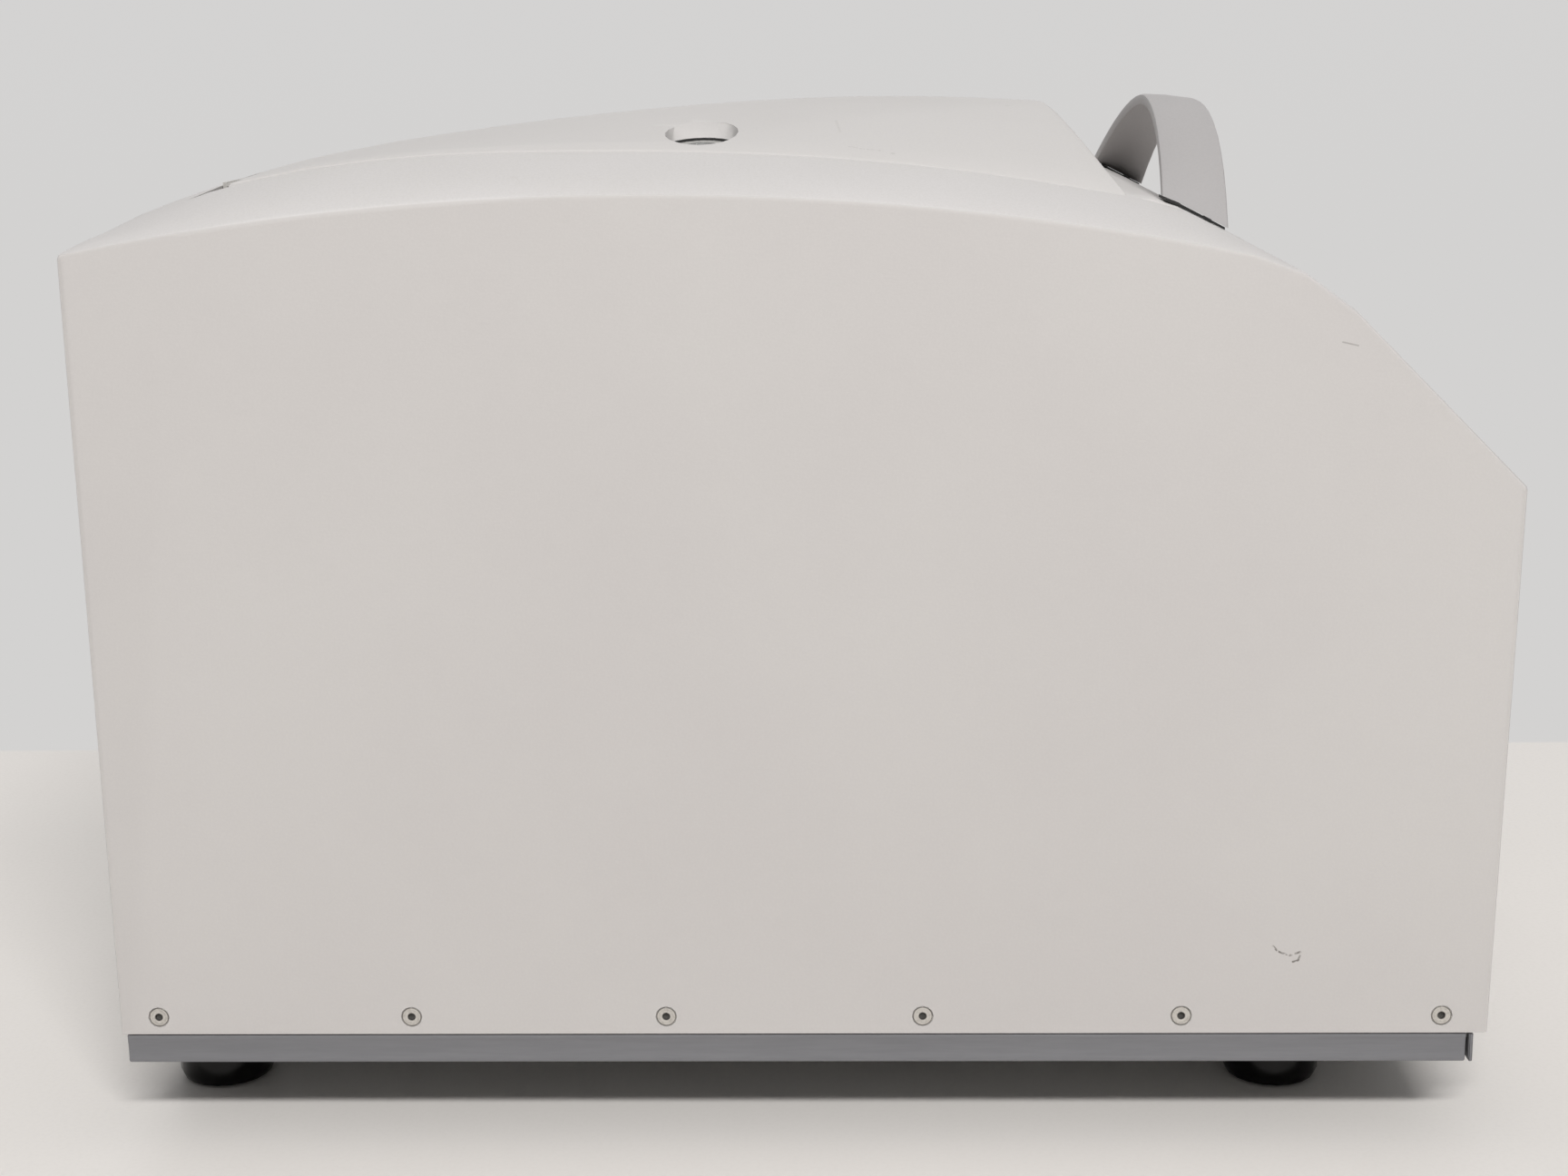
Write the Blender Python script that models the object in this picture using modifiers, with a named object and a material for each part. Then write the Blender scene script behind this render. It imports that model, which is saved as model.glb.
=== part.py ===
# Benchtop centrifuge with a hinged lid and a swing-out rotor
# Metres, +Z up, +X to the right as seen from the front, front towards -Y
# Origin on the bench under the middle of the hood

import math

import bmesh
import bpy
from mathutils import Matrix, Vector

# Whole machine
hood_width = 0.500
hood_depth = 0.6508
clearance = 0.0003
overrun = 0.010
tall_overrun = 0.050
half_width = hood_width / 2
front_y = -hood_depth / 2
rear_y = hood_depth / 2

# Side outline of the hood: one big arc, a knee, a straight slope and a front that leans out
arc_radius = 1.340
arc_peak_share = 0.11878
arc_peak_y = hood_depth * arc_peak_share
arc_peak_z = 0.4441
knee_radius = 0.094
slope_angle = math.radians(45.3)
front_corner_z = 0.3101
front_lean = 0.0047
hood_base_z = 0.0514
hood_wall = 0.0040
corner_round = 0.0030
flank_round = 0.0025

# Base rails, feet and pan
foot_bottom_z = 0.0
rail_bottom_z = 0.0364
rail_top_gap = 0.0007
rail_side_inset = 0.0007
rail_cove = 0.0006
rail_cove_steps = 6
rail_wall = 0.0034
rail_ledge_width = 0.018
rail_ledge_height = 0.0106
rail_round = 0.0012
rail_rear_inset = 0.0026
rail_front_inset = 0.0143
front_rail_gap = 0.0012
cross_rail_thickness = 0.0020
cross_rail_round = 0.0005
pan_thickness = 0.0030
pan_flange_height = 0.022
pan_flange_thickness = 0.0020
foot_radius = 0.0235
foot_shoulder_height = 0.018
foot_top_radius = 0.019
foot_round = 0.005
foot_side_margin = 0.072
foot_rear_margin = 0.0299
foot_front_margin = 0.0929
foot_x = half_width - foot_side_margin
foot_rear_y = rear_y - foot_rear_margin
foot_front_y = front_y + foot_front_margin
foot_stud_radius = 0.004
foot_stud_proud = 0.006

# Countersunk socket screws
screw_head_radius = 0.0048
screw_shank_radius = 0.0025
screw_length = 0.0100
screw_hole_depth = 0.0120
screw_socket_flats = 0.0032
screw_socket_depth = 0.0018
screw_recess = 0.0002
flank_screw_count = 6
flank_screw_rear_margin = 0.0191
flank_screw_front_margin = 0.0267
flank_screw_span = hood_depth - flank_screw_rear_margin - flank_screw_front_margin
flank_screw_pitch = flank_screw_span / (flank_screw_count - 1)
flank_screw_z = 0.060

# Crowned top, as heights above the side outline at named stations of the depth
band_width = 0.063
front_to_band = 0.1104
front_to_lip = 0.1261
front_to_foot = 0.1554
front_to_cut = 0.1754
front_to_crest = 0.1974
front_to_fore = 0.2754
mid_station_share = 0.1306
rear_to_aft = 0.1354
rear_to_lid = 0.0619
lid_half_width = half_width - band_width
lid_rear_y = rear_y - rear_to_lid
station_front = front_y + front_to_band
station_lip = front_y + front_to_lip
station_foot = front_y + front_to_foot
station_cut = front_y + front_to_cut
station_crest = front_y + front_to_crest
station_fore = front_y + front_to_fore
station_mid = hood_depth * mid_station_share
station_aft = rear_y - rear_to_aft
seam_rise_foot = 0.0125
seam_rise_lip = 0.0040
seam_rise_cut = 0.0122
seam_rise_fore = 0.0143
seam_rise_mid = 0.0155
seam_rise_aft = 0.0180
seam_rise_lid_rear = 0.0150
seam_rise_rear = 0.0035
ridge_rise_crest = 0.0466
ridge_rise_fore = 0.0405
ridge_rise_mid = 0.0292
ridge_rise_aft = 0.0228
ridge_rise_lid_rear = 0.0195
ridge_rise_rear = 0.0118
band_bulge_share = 0.5
lip_crown_share = 0.10

# Lid
lid_gap = 0.0010
lid_step = 0.0012
lid_wall = 0.0035
front_to_lid = 0.1199
lid_front_y = front_y + front_to_lid
lid_bottom_gap = 0.0025
lid_edge_round = 0.0018
lid_corner_round = 0.0030
cut_crest_round = 0.006
cut_root_round = 0.006
front_to_cut_corner = 0.1731
cut_corner_y = front_y + front_to_cut_corner
cut_corner_above = 0.0114
cut_rise = 0.0392
cut_lean = 0.62
liner_thickness = 0.0030
liner_height = 0.0050
buffer_radius = 0.006
buffer_inset = 0.016

# Sight port in the lid's near shoulder
port_side_margin = 0.0425
port_set_forward = 0.0050
port_x = port_side_margin - lid_half_width
port_radius_x = 0.0315
port_radius_y = 0.0175
port_window_radius = 0.0160
port_wall = 0.0040
port_glass_depth = 0.0060
port_glass_thickness = 0.0030
port_gasket_thickness = 0.0008
port_gasket_width = 0.0022
port_sight_radius = port_window_radius - port_gasket_width
port_boss_length = 0.080

# Bow handle
handle_half_span = lid_half_width
handle_rear_above = 0.0067
handle_rear_rise = 0.0500
handle_rear_power = 1.8
front_to_handle_rear = 0.1564
handle_rear_y = front_y + front_to_handle_rear
handle_rear_lean = -0.222
handle_front_rise = 0.0600
handle_front_power = 2.4
front_to_handle_front = 0.1254
handle_front_y = front_y + front_to_handle_front
handle_front_lean = -0.135
handle_thickness = 0.0060
handle_hollow = 0.0018
handle_dish = 0.0006
handle_round = 0.0018
handle_gasket = 0.0012
handle_reach_share = 1.04
handle_steps = 22
handle_stud_radius = 0.0020
handle_stud_proud = 0.0050
handle_stud_rear_inset = 0.0205
handle_stud_front_inset = 0.0155
handle_stud_rear_set = 0.0090
handle_stud_front_set = 0.0080
handle_stud_rear_x = handle_half_span - handle_stud_rear_inset
handle_stud_front_x = handle_half_span - handle_stud_front_inset
handle_stud_rear_y = handle_rear_y - handle_stud_rear_set
handle_stud_front_y = handle_front_y + handle_stud_front_set
handle_gasket_inset = 0.0285

# Deck recess and hinge
deck_drop = 0.0521
deck_z = arc_peak_z - deck_drop
recess_side_gap = 0.0010
recess_rear_gap = 0.0175
recess_rear_y = lid_rear_y + recess_rear_gap
hinge_set_back = 0.0070
hinge_y = lid_rear_y + hinge_set_back
hinge_above = 0.0099
hinge_barrel_radius = 0.0050
hinge_pin_radius = 0.0025
hinge_pin_gap = 0.00020
hinge_side_margin = 0.057
hinge_half_length = lid_half_width - hinge_side_margin
hinge_knuckle_gap = 0.0005
hinge_knuckles = 9
hinge_leaf_thickness = 0.0020
hinge_leaf_drop = 0.018

# Lock
striker_inset = 0.0315
striker_y = lid_front_y + striker_inset
striker_width = 0.030
striker_thickness = 0.0030
striker_drop = 0.0280
striker_bottom_z = deck_z - striker_drop
striker_window_width = 0.012
striker_window_drop = 0.0240
striker_window_low_z = deck_z - striker_window_drop
striker_window_height = 0.012
striker_head_width = 0.044
striker_head_thickness = 0.0040
slot_front_room = 0.0080
slot_rear_room = 0.0030
bolt_radius = 0.0040
bolt_length = 0.040
bolt_set_back = 0.0040
lock_block_width = 0.036
lock_block_length = 0.024
lock_coil_length = 0.018
lock_coil_radius = 0.0105
lock_block_drop = 0.0320
lock_block_low_z = deck_z - lock_block_drop

# Chamber
rotor_place_share = 0.5448
flange_side_margin = 0.008
flange_rear_margin = 0.0345
bowl_flange_width = 0.011
rotor_y = lid_front_y + (lid_rear_y - lid_front_y) * rotor_place_share
bowl_flange_radius = min(lid_half_width - flange_side_margin, lid_rear_y - rotor_y - flange_rear_margin)
bowl_radius = bowl_flange_radius - bowl_flange_width
bowl_wall = 0.0020
bowl_floor_z = 0.2050
bowl_floor_round = 0.026
bowl_hole_radius = 0.0200
seal_inner_margin = 0.0005
seal_outer_margin = 0.0020
seal_taper = 0.0020
guard_wall = 0.0060
guard_drop = 0.0100
guard_top_z = deck_z - guard_drop

# Rotor and buckets
pivot_drop = 0.0620
pivot_share = 0.5238
hub_share = 0.2619
arm_neck_share = 0.3095
channel_share = 0.2262
block_end_share = 0.5833
block_cut_share = 0.1310
bucket_share = 0.1845
bucket_below_share = 0.3929
ear_reach_share = 0.2226
pivot_z = deck_z - pivot_drop
pivot_radius = bowl_radius * pivot_share
hub_half = bowl_radius * hub_share
arm_neck = bowl_radius * arm_neck_share
channel_half = bowl_radius * channel_share
block_end = bowl_radius * block_end_share
block_cut = bowl_radius * block_cut_share
rotor_above = 0.0120
rotor_below = 0.0220
rotor_round = 0.0020
trunnion_radius = 0.0040
trunnion_length = 0.0040
trunnion_root = 0.0010
bucket_radius = bowl_radius * bucket_share
bucket_rim_proud = 0.0020
bucket_wall = 0.0020
bucket_above = 0.0180
bucket_below = bowl_radius * bucket_below_share
bucket_rim_height = 0.0060
bucket_round = 0.0080
bucket_bend_share = 0.3
ear_radius = 0.0075
ear_reach = bowl_radius * ear_reach_share
ear_clearance = 0.00050
spindle_radius = 0.0110
spindle_top_radius = 0.0080
spindle_step_drop = 0.0200
spindle_rise = 0.0260
spindle_step_z = pivot_z - spindle_step_drop
spindle_top_z = pivot_z + spindle_rise
spindle_bottom_z = 0.1300
nut_radius = 0.0150
nut_height = 0.0160
nut_top_radius = 0.0120
nut_roof_gap = 0.0009

# Drive
motor_radius = 0.0560
motor_bottom_z = 0.0800
motor_top_z = 0.1880
motor_neck_radius = 0.0260
motor_neck_height = 0.0100
motor_round = 0.0060
motor_bore_radius = 0.01115
motor_plate_half = 0.0900
motor_plate_thickness = 0.0050
damper_radius = 0.0140
damper_ring_radius = 0.0780
damper_count = 3
damper_waist_share = 0.8

# Electrics on the pan
inverter_width = 0.100
inverter_depth = 0.070
inverter_height = 0.090
inverter_side_margin = 0.090
inverter_rear_margin = 0.0754
inverter_x = inverter_side_margin - half_width
inverter_y = rear_y - inverter_rear_margin
inverter_fins = 6
inverter_fin_depth = 0.022

# Control fascia on the slope
fascia_side_margin = 0.050
fascia_slope_margin = 0.01573
fascia_width = hood_width - fascia_side_margin * 2
fascia_recess = 0.0004
fascia_flange = 0.0060
fascia_flange_thickness = 0.0015
fascia_round = 0.006
glass_width = 0.130
glass_height = 0.046
glass_thickness = 0.0014
glass_pocket_gap = 0.0002
glass_x = -0.090
key_width = 0.030
key_height = 0.018
key_gap = 0.00025
key_proud = 0.0003
key_travel = 0.0010
key_flange = 0.0016
key_flange_thickness = 0.0012
key_pitch_x = 0.048
key_pitch_y = 0.028
key_first_x = 0.072
board_gap = 0.0012
board_thickness = 0.0016
board_side_margin = 0.020
board_slope_margin = 0.005
board_width = fascia_width - board_side_margin * 2
spacer_radius = 0.0030
spacer_inset = 0.008

# Rear panel
panel_side_margin = 0.052
window_side_margin = 0.070
panel_half_width = half_width - panel_side_margin
panel_low_z = 0.071
panel_high_z = 0.314
window_half_width = half_width - window_side_margin
window_low_z = 0.080
window_high_z = 0.300
panel_thickness = 0.0020
panel_screw_margin = 0.061
panel_screw_x = half_width - panel_screw_margin
panel_screw_low_z = 0.105
panel_screw_high_z = 0.275
vent_share = 0.4444
vent_x = window_half_width * vent_share
vent_width = 0.100
vent_height = 0.005
vent_pitch = 0.014
vent_count = 8
vent_first_z = 0.118
fan_x = -window_half_width * vent_share
fan_z = 0.190
fan_size = 0.092
fan_depth = 0.025
fan_bore_radius = 0.0430
fan_hub_radius = 0.0170
fan_boss_thickness = 0.0040
fan_strut_width = 0.0060
fan_blade_count = 7
fan_blade_thickness = 0.0016
fan_blade_pitch = math.radians(38)
fan_tip_gap = 0.0020
fan_chord_share = 0.9
fan_root_share = 0.9
fan_rear_gap = 0.0015
fan_strut_bite = 0.0010
fan_slot_count = 7
fan_slot_height = 0.0055
fan_slot_pitch = 0.0110
inlet_share = 0.7222
inlet_x = window_half_width * inlet_share
inlet_z = 0.262
inlet_flange_width = 0.034
inlet_flange_height = 0.028
inlet_flange_thickness = 0.0025
inlet_body_width = 0.027
inlet_body_height = 0.0205
inlet_depth = 0.020
inlet_pocket_width = 0.0235
inlet_pocket_height = 0.0165
inlet_pocket_depth = 0.016
inlet_pin_width = 0.0022
inlet_pin_height = 0.0045
inlet_pin_pitch = 0.0070
inlet_pin_drop = 0.0020
switch_share = 0.3889
switch_x = window_half_width * switch_share
switch_flange_width = 0.032
switch_flange_height = 0.026
switch_flange_thickness = 0.0020
switch_body_width = 0.0270
switch_body_height = 0.0200
switch_depth = 0.016
switch_pocket_width = 0.0220
switch_pocket_height = 0.0150
switch_pocket_depth = 0.012
rocker_width = 0.0210
rocker_height = 0.0130
rocker_depth = 0.0070
rocker_axis_depth = 0.0040
rocker_tilt = math.radians(8)
rocker_proud = 0.0008
rocker_root_share = 0.7

# Facets of round pieces
facets_large = 36
facets_bucket = 16
facets_mid = 20
facets_small = 8
facets_screw = 12
facets_pin = 10
hex_sides = 6

# Slices of the lofted shells
hood_rows = 26
cavity_rows = 12
band_steps = 4
top_steps = 4
lid_rows = 14
lid_steps = 9
lid_cavity_rows = 8
lid_cavity_steps = 5
lip_rows = 4
corner_steps = 2
bend_steps = 3
seat_steps = 13
seat_rows = 8
least_round = 0.0003
cut_turn_share = 0.45

parts = bpy.data.collections.new("benchtop_centrifuge")
cutters = bpy.data.collections.new("cutters")


# Scene and materials

def clear_scene():
    for found in list(bpy.data.objects):
        bpy.data.objects.remove(found, do_unlink=True)
    bpy.context.scene.collection.children.link(parts)
    bpy.context.scene.collection.children.link(cutters)


def material(name, colour, roughness, metallic=0.0):
    made = bpy.data.materials.new(name)
    made.use_nodes = True
    shader = made.node_tree.nodes["Principled BSDF"]
    shader.inputs["Base Color"].default_value = (*colour, 1.0)
    shader.inputs["Roughness"].default_value = roughness
    shader.inputs["Metallic"].default_value = metallic
    made.diffuse_color = (*colour, 1.0)
    return made


finishes = {
    "hood_paint": ((0.61, 0.59, 0.57), 0.55, 0.0),
    "lid_paint": ((0.63, 0.61, 0.59), 0.50, 0.0),
    "handle_paint": ((0.50, 0.48, 0.46), 0.50, 0.0),
    "rail_paint": ((0.21, 0.21, 0.215), 0.55, 0.0),
    "gloss_black": ((0.005, 0.005, 0.005), 0.12, 0.0),
    "rubber": ((0.02, 0.02, 0.02), 0.75, 0.0),
    "steel": ((0.62, 0.61, 0.60), 0.30, 1.0),
    "zinc": ((0.50, 0.50, 0.50), 0.42, 1.0),
    "aluminium": ((0.70, 0.70, 0.70), 0.38, 1.0),
    "motor_paint": ((0.08, 0.08, 0.085), 0.50, 0.0),
    "dark_plastic": ((0.05, 0.05, 0.052), 0.45, 0.0),
    "key_plastic": ((0.33, 0.34, 0.36), 0.50, 0.0),
    "glass": ((0.10, 0.11, 0.12), 0.05, 0.0),
    "board_green": ((0.02, 0.14, 0.07), 0.50, 0.0),
}


def paint(target, finish):
    colour, roughness, metallic = finishes[finish]
    target.data.materials.clear()
    target.data.materials.append(material(target.name + "_" + finish, colour, roughness, metallic))
    return target


# Making objects

def place(name, mesh, finish=None):
    made = bpy.data.objects.new(name, mesh)
    if finish is None:
        cutters.objects.link(made)
        made.hide_render = True
        made.display_type = "WIRE"
    else:
        parts.objects.link(made)
        paint(made, finish)
    return made


def smooth(target):
    target.data.shade_smooth()
    target.data.set_sharp_from_angle(angle=math.radians(35))
    return target


def mesh_of(name, work, matrix=None):
    if matrix is not None:
        bmesh.ops.transform(work, matrix=matrix, verts=work.verts)
    mesh = bpy.data.meshes.new(name)
    work.to_mesh(mesh)
    work.free()
    return mesh


def box(name, low, high, finish=None, matrix=None):
    size = [b - a for a, b in zip(low, high)]
    middle = [(a + b) / 2 for a, b in zip(low, high)]
    work = bmesh.new()
    bmesh.ops.create_cube(work, size=1, matrix=Matrix.Translation(middle) @ Matrix.Diagonal((*size, 1)))
    return place(name, mesh_of(name, work, matrix), finish)


def rod(name, radius, start, end, sides, finish=None, radius_end=None, matrix=None):
    start, end = Vector(start), Vector(end)
    along = end - start
    turn = along.to_track_quat("Z", "Y").to_matrix().to_4x4()
    work = bmesh.new()
    bmesh.ops.create_cone(work, cap_ends=True, segments=sides, radius1=radius,
                          radius2=radius if radius_end is None else radius_end, depth=along.length,
                          matrix=Matrix.Translation((start + end) / 2) @ turn)
    made = place(name, mesh_of(name, work, matrix), finish)
    return smooth(made)


def turned(name, profile, sides, centre=(0, 0, 0), finish=None, closed=False, turn=None):
    work = bmesh.new()
    points = [work.verts.new((radius, 0, height)) for radius, height in profile]
    for first, second in zip(points, points[1:] + points[:1] if closed else points[1:]):
        work.edges.new((first, second))
    made = place(name, mesh_of(name, work), finish)
    made.matrix_world = Matrix.Translation(centre) @ (turn or Matrix.Identity(4))
    spin = made.modifiers.new("turn", "SCREW")
    spin.axis = "Z"
    spin.angle = math.tau
    spin.steps = sides
    spin.render_steps = sides
    spin.use_merge_vertices = True
    spin.merge_threshold = 0.00001
    spin.use_smooth_shade = True
    return made


def slab(name, outline, thickness, finish=None, matrix=None):
    curve = bpy.data.curves.new(name, "CURVE")
    curve.dimensions = "2D"
    curve.fill_mode = "BOTH"
    curve.extrude = thickness / 2
    path = curve.splines.new("POLY")
    path.points.add(len(outline) - 1)
    for point, (x, y) in zip(path.points, outline):
        point.co = (x, y, 0, 1)
    path.use_cyclic_u = True
    flat = place(name + "_curve", curve)
    bpy.context.view_layer.update()
    mesh = bpy.data.meshes.new_from_object(flat.evaluated_get(bpy.context.evaluated_depsgraph_get()))
    bpy.data.objects.remove(flat)
    work = bmesh.new()
    work.from_mesh(mesh)
    bmesh.ops.remove_doubles(work, verts=work.verts, dist=0.00001)
    return place(name, mesh_of(name, work, matrix), finish)


def loft(name, sections, finish=None):
    # Closed sections of the same number of points, joined in order and capped at both ends
    work = bmesh.new()
    rings = [[work.verts.new(point) for point in section] for section in sections]
    for near, far in zip(rings, rings[1:]):
        count = len(near)
        for i in range(count):
            work.faces.new((near[i], near[(i + 1) % count], far[(i + 1) % count], far[i]))
    work.faces.new(rings[0])
    work.faces.new(reversed(rings[-1]))
    bmesh.ops.recalc_face_normals(work, faces=work.faces)
    return place(name, mesh_of(name, work), finish)


def joined(name, sources, finish=None):
    # Separate solids as one node, for groups of like pieces and for groups of cutters
    bpy.context.view_layer.update()
    graph = bpy.context.evaluated_depsgraph_get()
    work = bmesh.new()
    for source in sources:
        mesh = bpy.data.meshes.new_from_object(source.evaluated_get(graph))
        mesh.transform(source.matrix_world)
        work.from_mesh(mesh)
        bpy.data.meshes.remove(mesh)
    for source in sources:
        bpy.data.objects.remove(source)
    made = place(name, mesh_of(name, work), finish)
    return smooth(made)


def cut(target, tool, operation="DIFFERENCE"):
    change = target.modifiers.new(tool.name, "BOOLEAN")
    change.operation = operation
    change.solver = "EXACT"
    change.object = tool
    return target


def round_edges(target, width, segments=2):
    change = target.modifiers.new("round", "BEVEL")
    change.width = width
    change.segments = segments
    change.limit_method = "ANGLE"
    change.angle_limit = math.radians(40)
    return target


def hold(empty, *children):
    for child in children:
        child.parent = empty
        child.matrix_parent_inverse = empty.matrix_world.inverted()


def axis_empty(name, location):
    made = bpy.data.objects.new(name, None)
    parts.objects.link(made)
    made.matrix_world = Matrix.Translation(location)
    bpy.context.view_layer.update()
    return made


# Outlines

def rounded_box_outline(width, height, radius, steps=4):
    points = []
    corners = ((1, 1, 0), (-1, 1, 90), (-1, -1, 180), (1, -1, 270))
    for side_x, side_y, start in corners:
        for step in range(steps + 1):
            angle = math.radians(start + 90 * step / steps)
            x = side_x * (width / 2 - radius) + radius * math.cos(angle)
            y = side_y * (height / 2 - radius) + radius * math.sin(angle)
            points.append((x, y))
    return points


def rounded_path(points, radii, steps):
    # An open path whose corners turn in arcs of the given radii, each of the same number of steps
    made = [points[0]]
    for before, corner, after, radius in zip(points, points[1:], points[2:], radii):
        corner = Vector(corner)
        back = (Vector(before) - corner).normalized()
        forth = (Vector(after) - corner).normalized()
        half = back.angle(forth) / 2
        reach = radius / math.tan(half)
        centre = corner + (back + forth).normalized() * radius / math.sin(half)
        start = corner + back * reach - centre
        end = corner + forth * reach - centre
        for step in range(steps + 1):
            spoke = start.lerp(end, step / steps).normalized() * radius
            made.append(tuple(centre + spoke))
    made.append(points[-1])
    return made


def eased(stations, at):
    # Smooth curve through (place, height) stations, flat beyond both ends
    if at <= stations[0][0]:
        return stations[0][1]
    if at >= stations[-1][0]:
        return stations[-1][1]
    count = len(stations)
    slopes = []
    for i in range(count):
        low, high = stations[max(i - 1, 0)], stations[min(i + 1, count - 1)]
        slopes.append((high[1] - low[1]) / (high[0] - low[0]))
    for i in range(count - 1):
        (x0, y0), (x1, y1) = stations[i], stations[i + 1]
        if at <= x1:
            span = x1 - x0
            t = (at - x0) / span
            stay = 2 * t ** 3 - 3 * t ** 2 + 1
            start = (t ** 3 - 2 * t ** 2 + t) * span * slopes[i]
            end = (t ** 3 - t ** 2) * span * slopes[i + 1]
            return stay * y0 + (1 - stay) * y1 + start + end


# Side outline

arc_centre = Vector((arc_peak_y, arc_peak_z - arc_radius))
slope_up = Vector((math.cos(slope_angle), math.sin(slope_angle)))
slope_out = Vector((-math.sin(slope_angle), math.cos(slope_angle)))
front_corner = Vector((front_y, front_corner_z))


def knee_points():
    start = front_corner - slope_out * knee_radius - arc_centre
    along = start.dot(slope_up)
    rest = start.length_squared - (arc_radius - knee_radius) ** 2
    climb = -along + math.sqrt(along ** 2 - rest)
    centre = arc_centre + start + slope_up * climb
    meeting = arc_centre + (centre - arc_centre).normalized() * arc_radius
    return centre, centre + slope_out * knee_radius, meeting


knee_centre, slope_top, arc_end = knee_points()


def side_height(y):
    if y >= arc_end.x:
        return arc_centre.y + math.sqrt(arc_radius ** 2 - (y - arc_centre.x) ** 2)
    if y >= slope_top.x:
        return knee_centre.y + math.sqrt(knee_radius ** 2 - (y - knee_centre.x) ** 2)
    return front_corner.y + (y - front_corner.x) * math.tan(slope_angle)


fascia_height = (slope_top - front_corner).length - fascia_slope_margin * 2
board_height = fascia_height - board_slope_margin * 2
port_y = rotor_y - port_set_forward
cut_corner_z = side_height(cut_corner_y) + cut_corner_above
handle_rear_z = side_height(handle_rear_y) + handle_rear_above
handle_front_z = side_height(handle_front_y)
hinge_z = side_height(hinge_y) + hinge_above

seam_stations = ((station_front, 0), (station_lip, seam_rise_lip), (station_foot, seam_rise_foot),
                 (station_cut, seam_rise_cut), (station_fore, seam_rise_fore), (station_mid, seam_rise_mid),
                 (station_aft, seam_rise_aft), (lid_rear_y, seam_rise_lid_rear), (rear_y, seam_rise_rear))
ridge_stations = ((station_crest, ridge_rise_crest), (station_fore, ridge_rise_fore),
                  (station_mid, ridge_rise_mid), (station_aft, ridge_rise_aft),
                  (lid_rear_y, ridge_rise_lid_rear), (rear_y, ridge_rise_rear))


def inward(x):
    return 1 - (x / lid_half_width) ** 2


def band_height(x, y):
    # The hood's own surface: the side outline, the crowned band and the lip between the lid's sides
    rise = eased(seam_stations, y)
    out = abs(x)
    if out > lid_half_width:
        t = (half_width - out) / (half_width - lid_half_width)
        return side_height(y) + rise * t * (1 + band_bulge_share * (1 - t))
    return side_height(y) + rise * (1 + lip_crown_share * inward(x))


def dome_height(x, y):
    seam = eased(seam_stations, y)
    ridge = eased(ridge_stations, y)
    return side_height(y) + seam + (ridge - seam) * max(inward(x), 0)


def spread(low, high, count):
    return [low + (high - low) * i / (count - 1) for i in range(count)]


# Hood

def hood_section(x, inset, rows, low_z):
    # One slice of the hood at x, as (y, z) points from the rear foot over the top to the front foot
    rear = rear_y - inset
    front_top = Vector((front_y, front_corner_z)) + Vector((inset, -inset * math.tan(slope_angle / 2)))
    front_low = (front_y + front_lean + inset, low_z)

    def top(y):
        if y > lid_rear_y:
            return dome_height(x, y) if abs(x) < lid_half_width else band_height(x, y)
        return band_height(x, y)

    turn = max(corner_round - inset, least_round)
    rear_start = rear - turn
    points = [(rear, low_z)]
    corner_top = top(rear) - inset
    after_corner = (rear_start - turn, top(rear_start - turn) - inset)
    points += rounded_path([(rear, low_z), (rear, corner_top), after_corner], [turn], corner_steps)[1:-1]
    for y in spread(rear_start - turn * 2, slope_top.x, rows):
        climb = side_height(y + overrun) - side_height(y - overrun)
        points.append((y, top(y) - inset / math.cos(math.atan2(climb, 2 * overrun))))
    points += rounded_path([points[-1], tuple(front_top), front_low], [turn], corner_steps)[1:]
    return [(x, y, z) for y, z in points]


def flank_columns(half, radius, steps):
    # (x, inset) pairs of the rounded edge between a flank and the top, from the flank inwards
    pairs = []
    for step in range(steps + 1):
        angle = math.pi / 2 * step / steps
        pairs.append((half - radius * (1 - math.cos(angle)), radius * (1 - math.sin(angle))))
    return pairs


def mirrored(pairs):
    # The same columns from -X to +X, from pairs that run inwards
    left = [(-x, inset) for x, inset in pairs]
    right = [(x, inset) for x, inset in reversed(pairs)]
    return left + right


def hood_columns():
    edge = flank_columns(half_width, flank_round, corner_steps)
    band = [(x, 0) for x in spread(half_width - flank_round, lid_half_width, band_steps)[1:]]
    middle = [(x, 0) for x in spread(lid_half_width, 0, top_steps)[1:]]
    pairs = edge + band + middle
    return mirrored(pairs[:-1])[:len(pairs) - 1] + [pairs[-1]] + mirrored(pairs[:-1])[len(pairs) - 1:]


def hood_body():
    sections = [hood_section(x, inset, hood_rows, hood_base_z) for x, inset in hood_columns()]
    return loft("hood", sections, "hood_paint")


def hood_cavity():
    inner = half_width - hood_wall
    places = [inner] + spread(half_width - flank_round * 3, lid_half_width, 3)
    places += spread(lid_half_width, 0, 3)[1:]
    columns = [-x for x in places[:-1]] + places[::-1]
    sections = [hood_section(x, hood_wall, cavity_rows, hood_base_z - overrun) for x in columns]
    return loft("hood_cavity", sections)


recess_half = lid_half_width + recess_side_gap
recess_front_y = lid_front_y - lid_gap


def recess_well():
    # What the cavity leaves standing, so that the hood keeps the walls and floor of the deck recess
    return box("recess_well",
               (-recess_half - hood_wall, recess_front_y - hood_wall, deck_z - hood_wall),
               (recess_half + hood_wall, recess_rear_y + hood_wall, arc_peak_z + tall_overrun))


def recess_space():
    return box("recess_space", (-recess_half, recess_front_y, deck_z),
               (recess_half, recess_rear_y, arc_peak_z + tall_overrun))


def screw_turn(direction):
    return Vector(direction).to_track_quat("Z", "Y").to_matrix().to_4x4()


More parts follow.
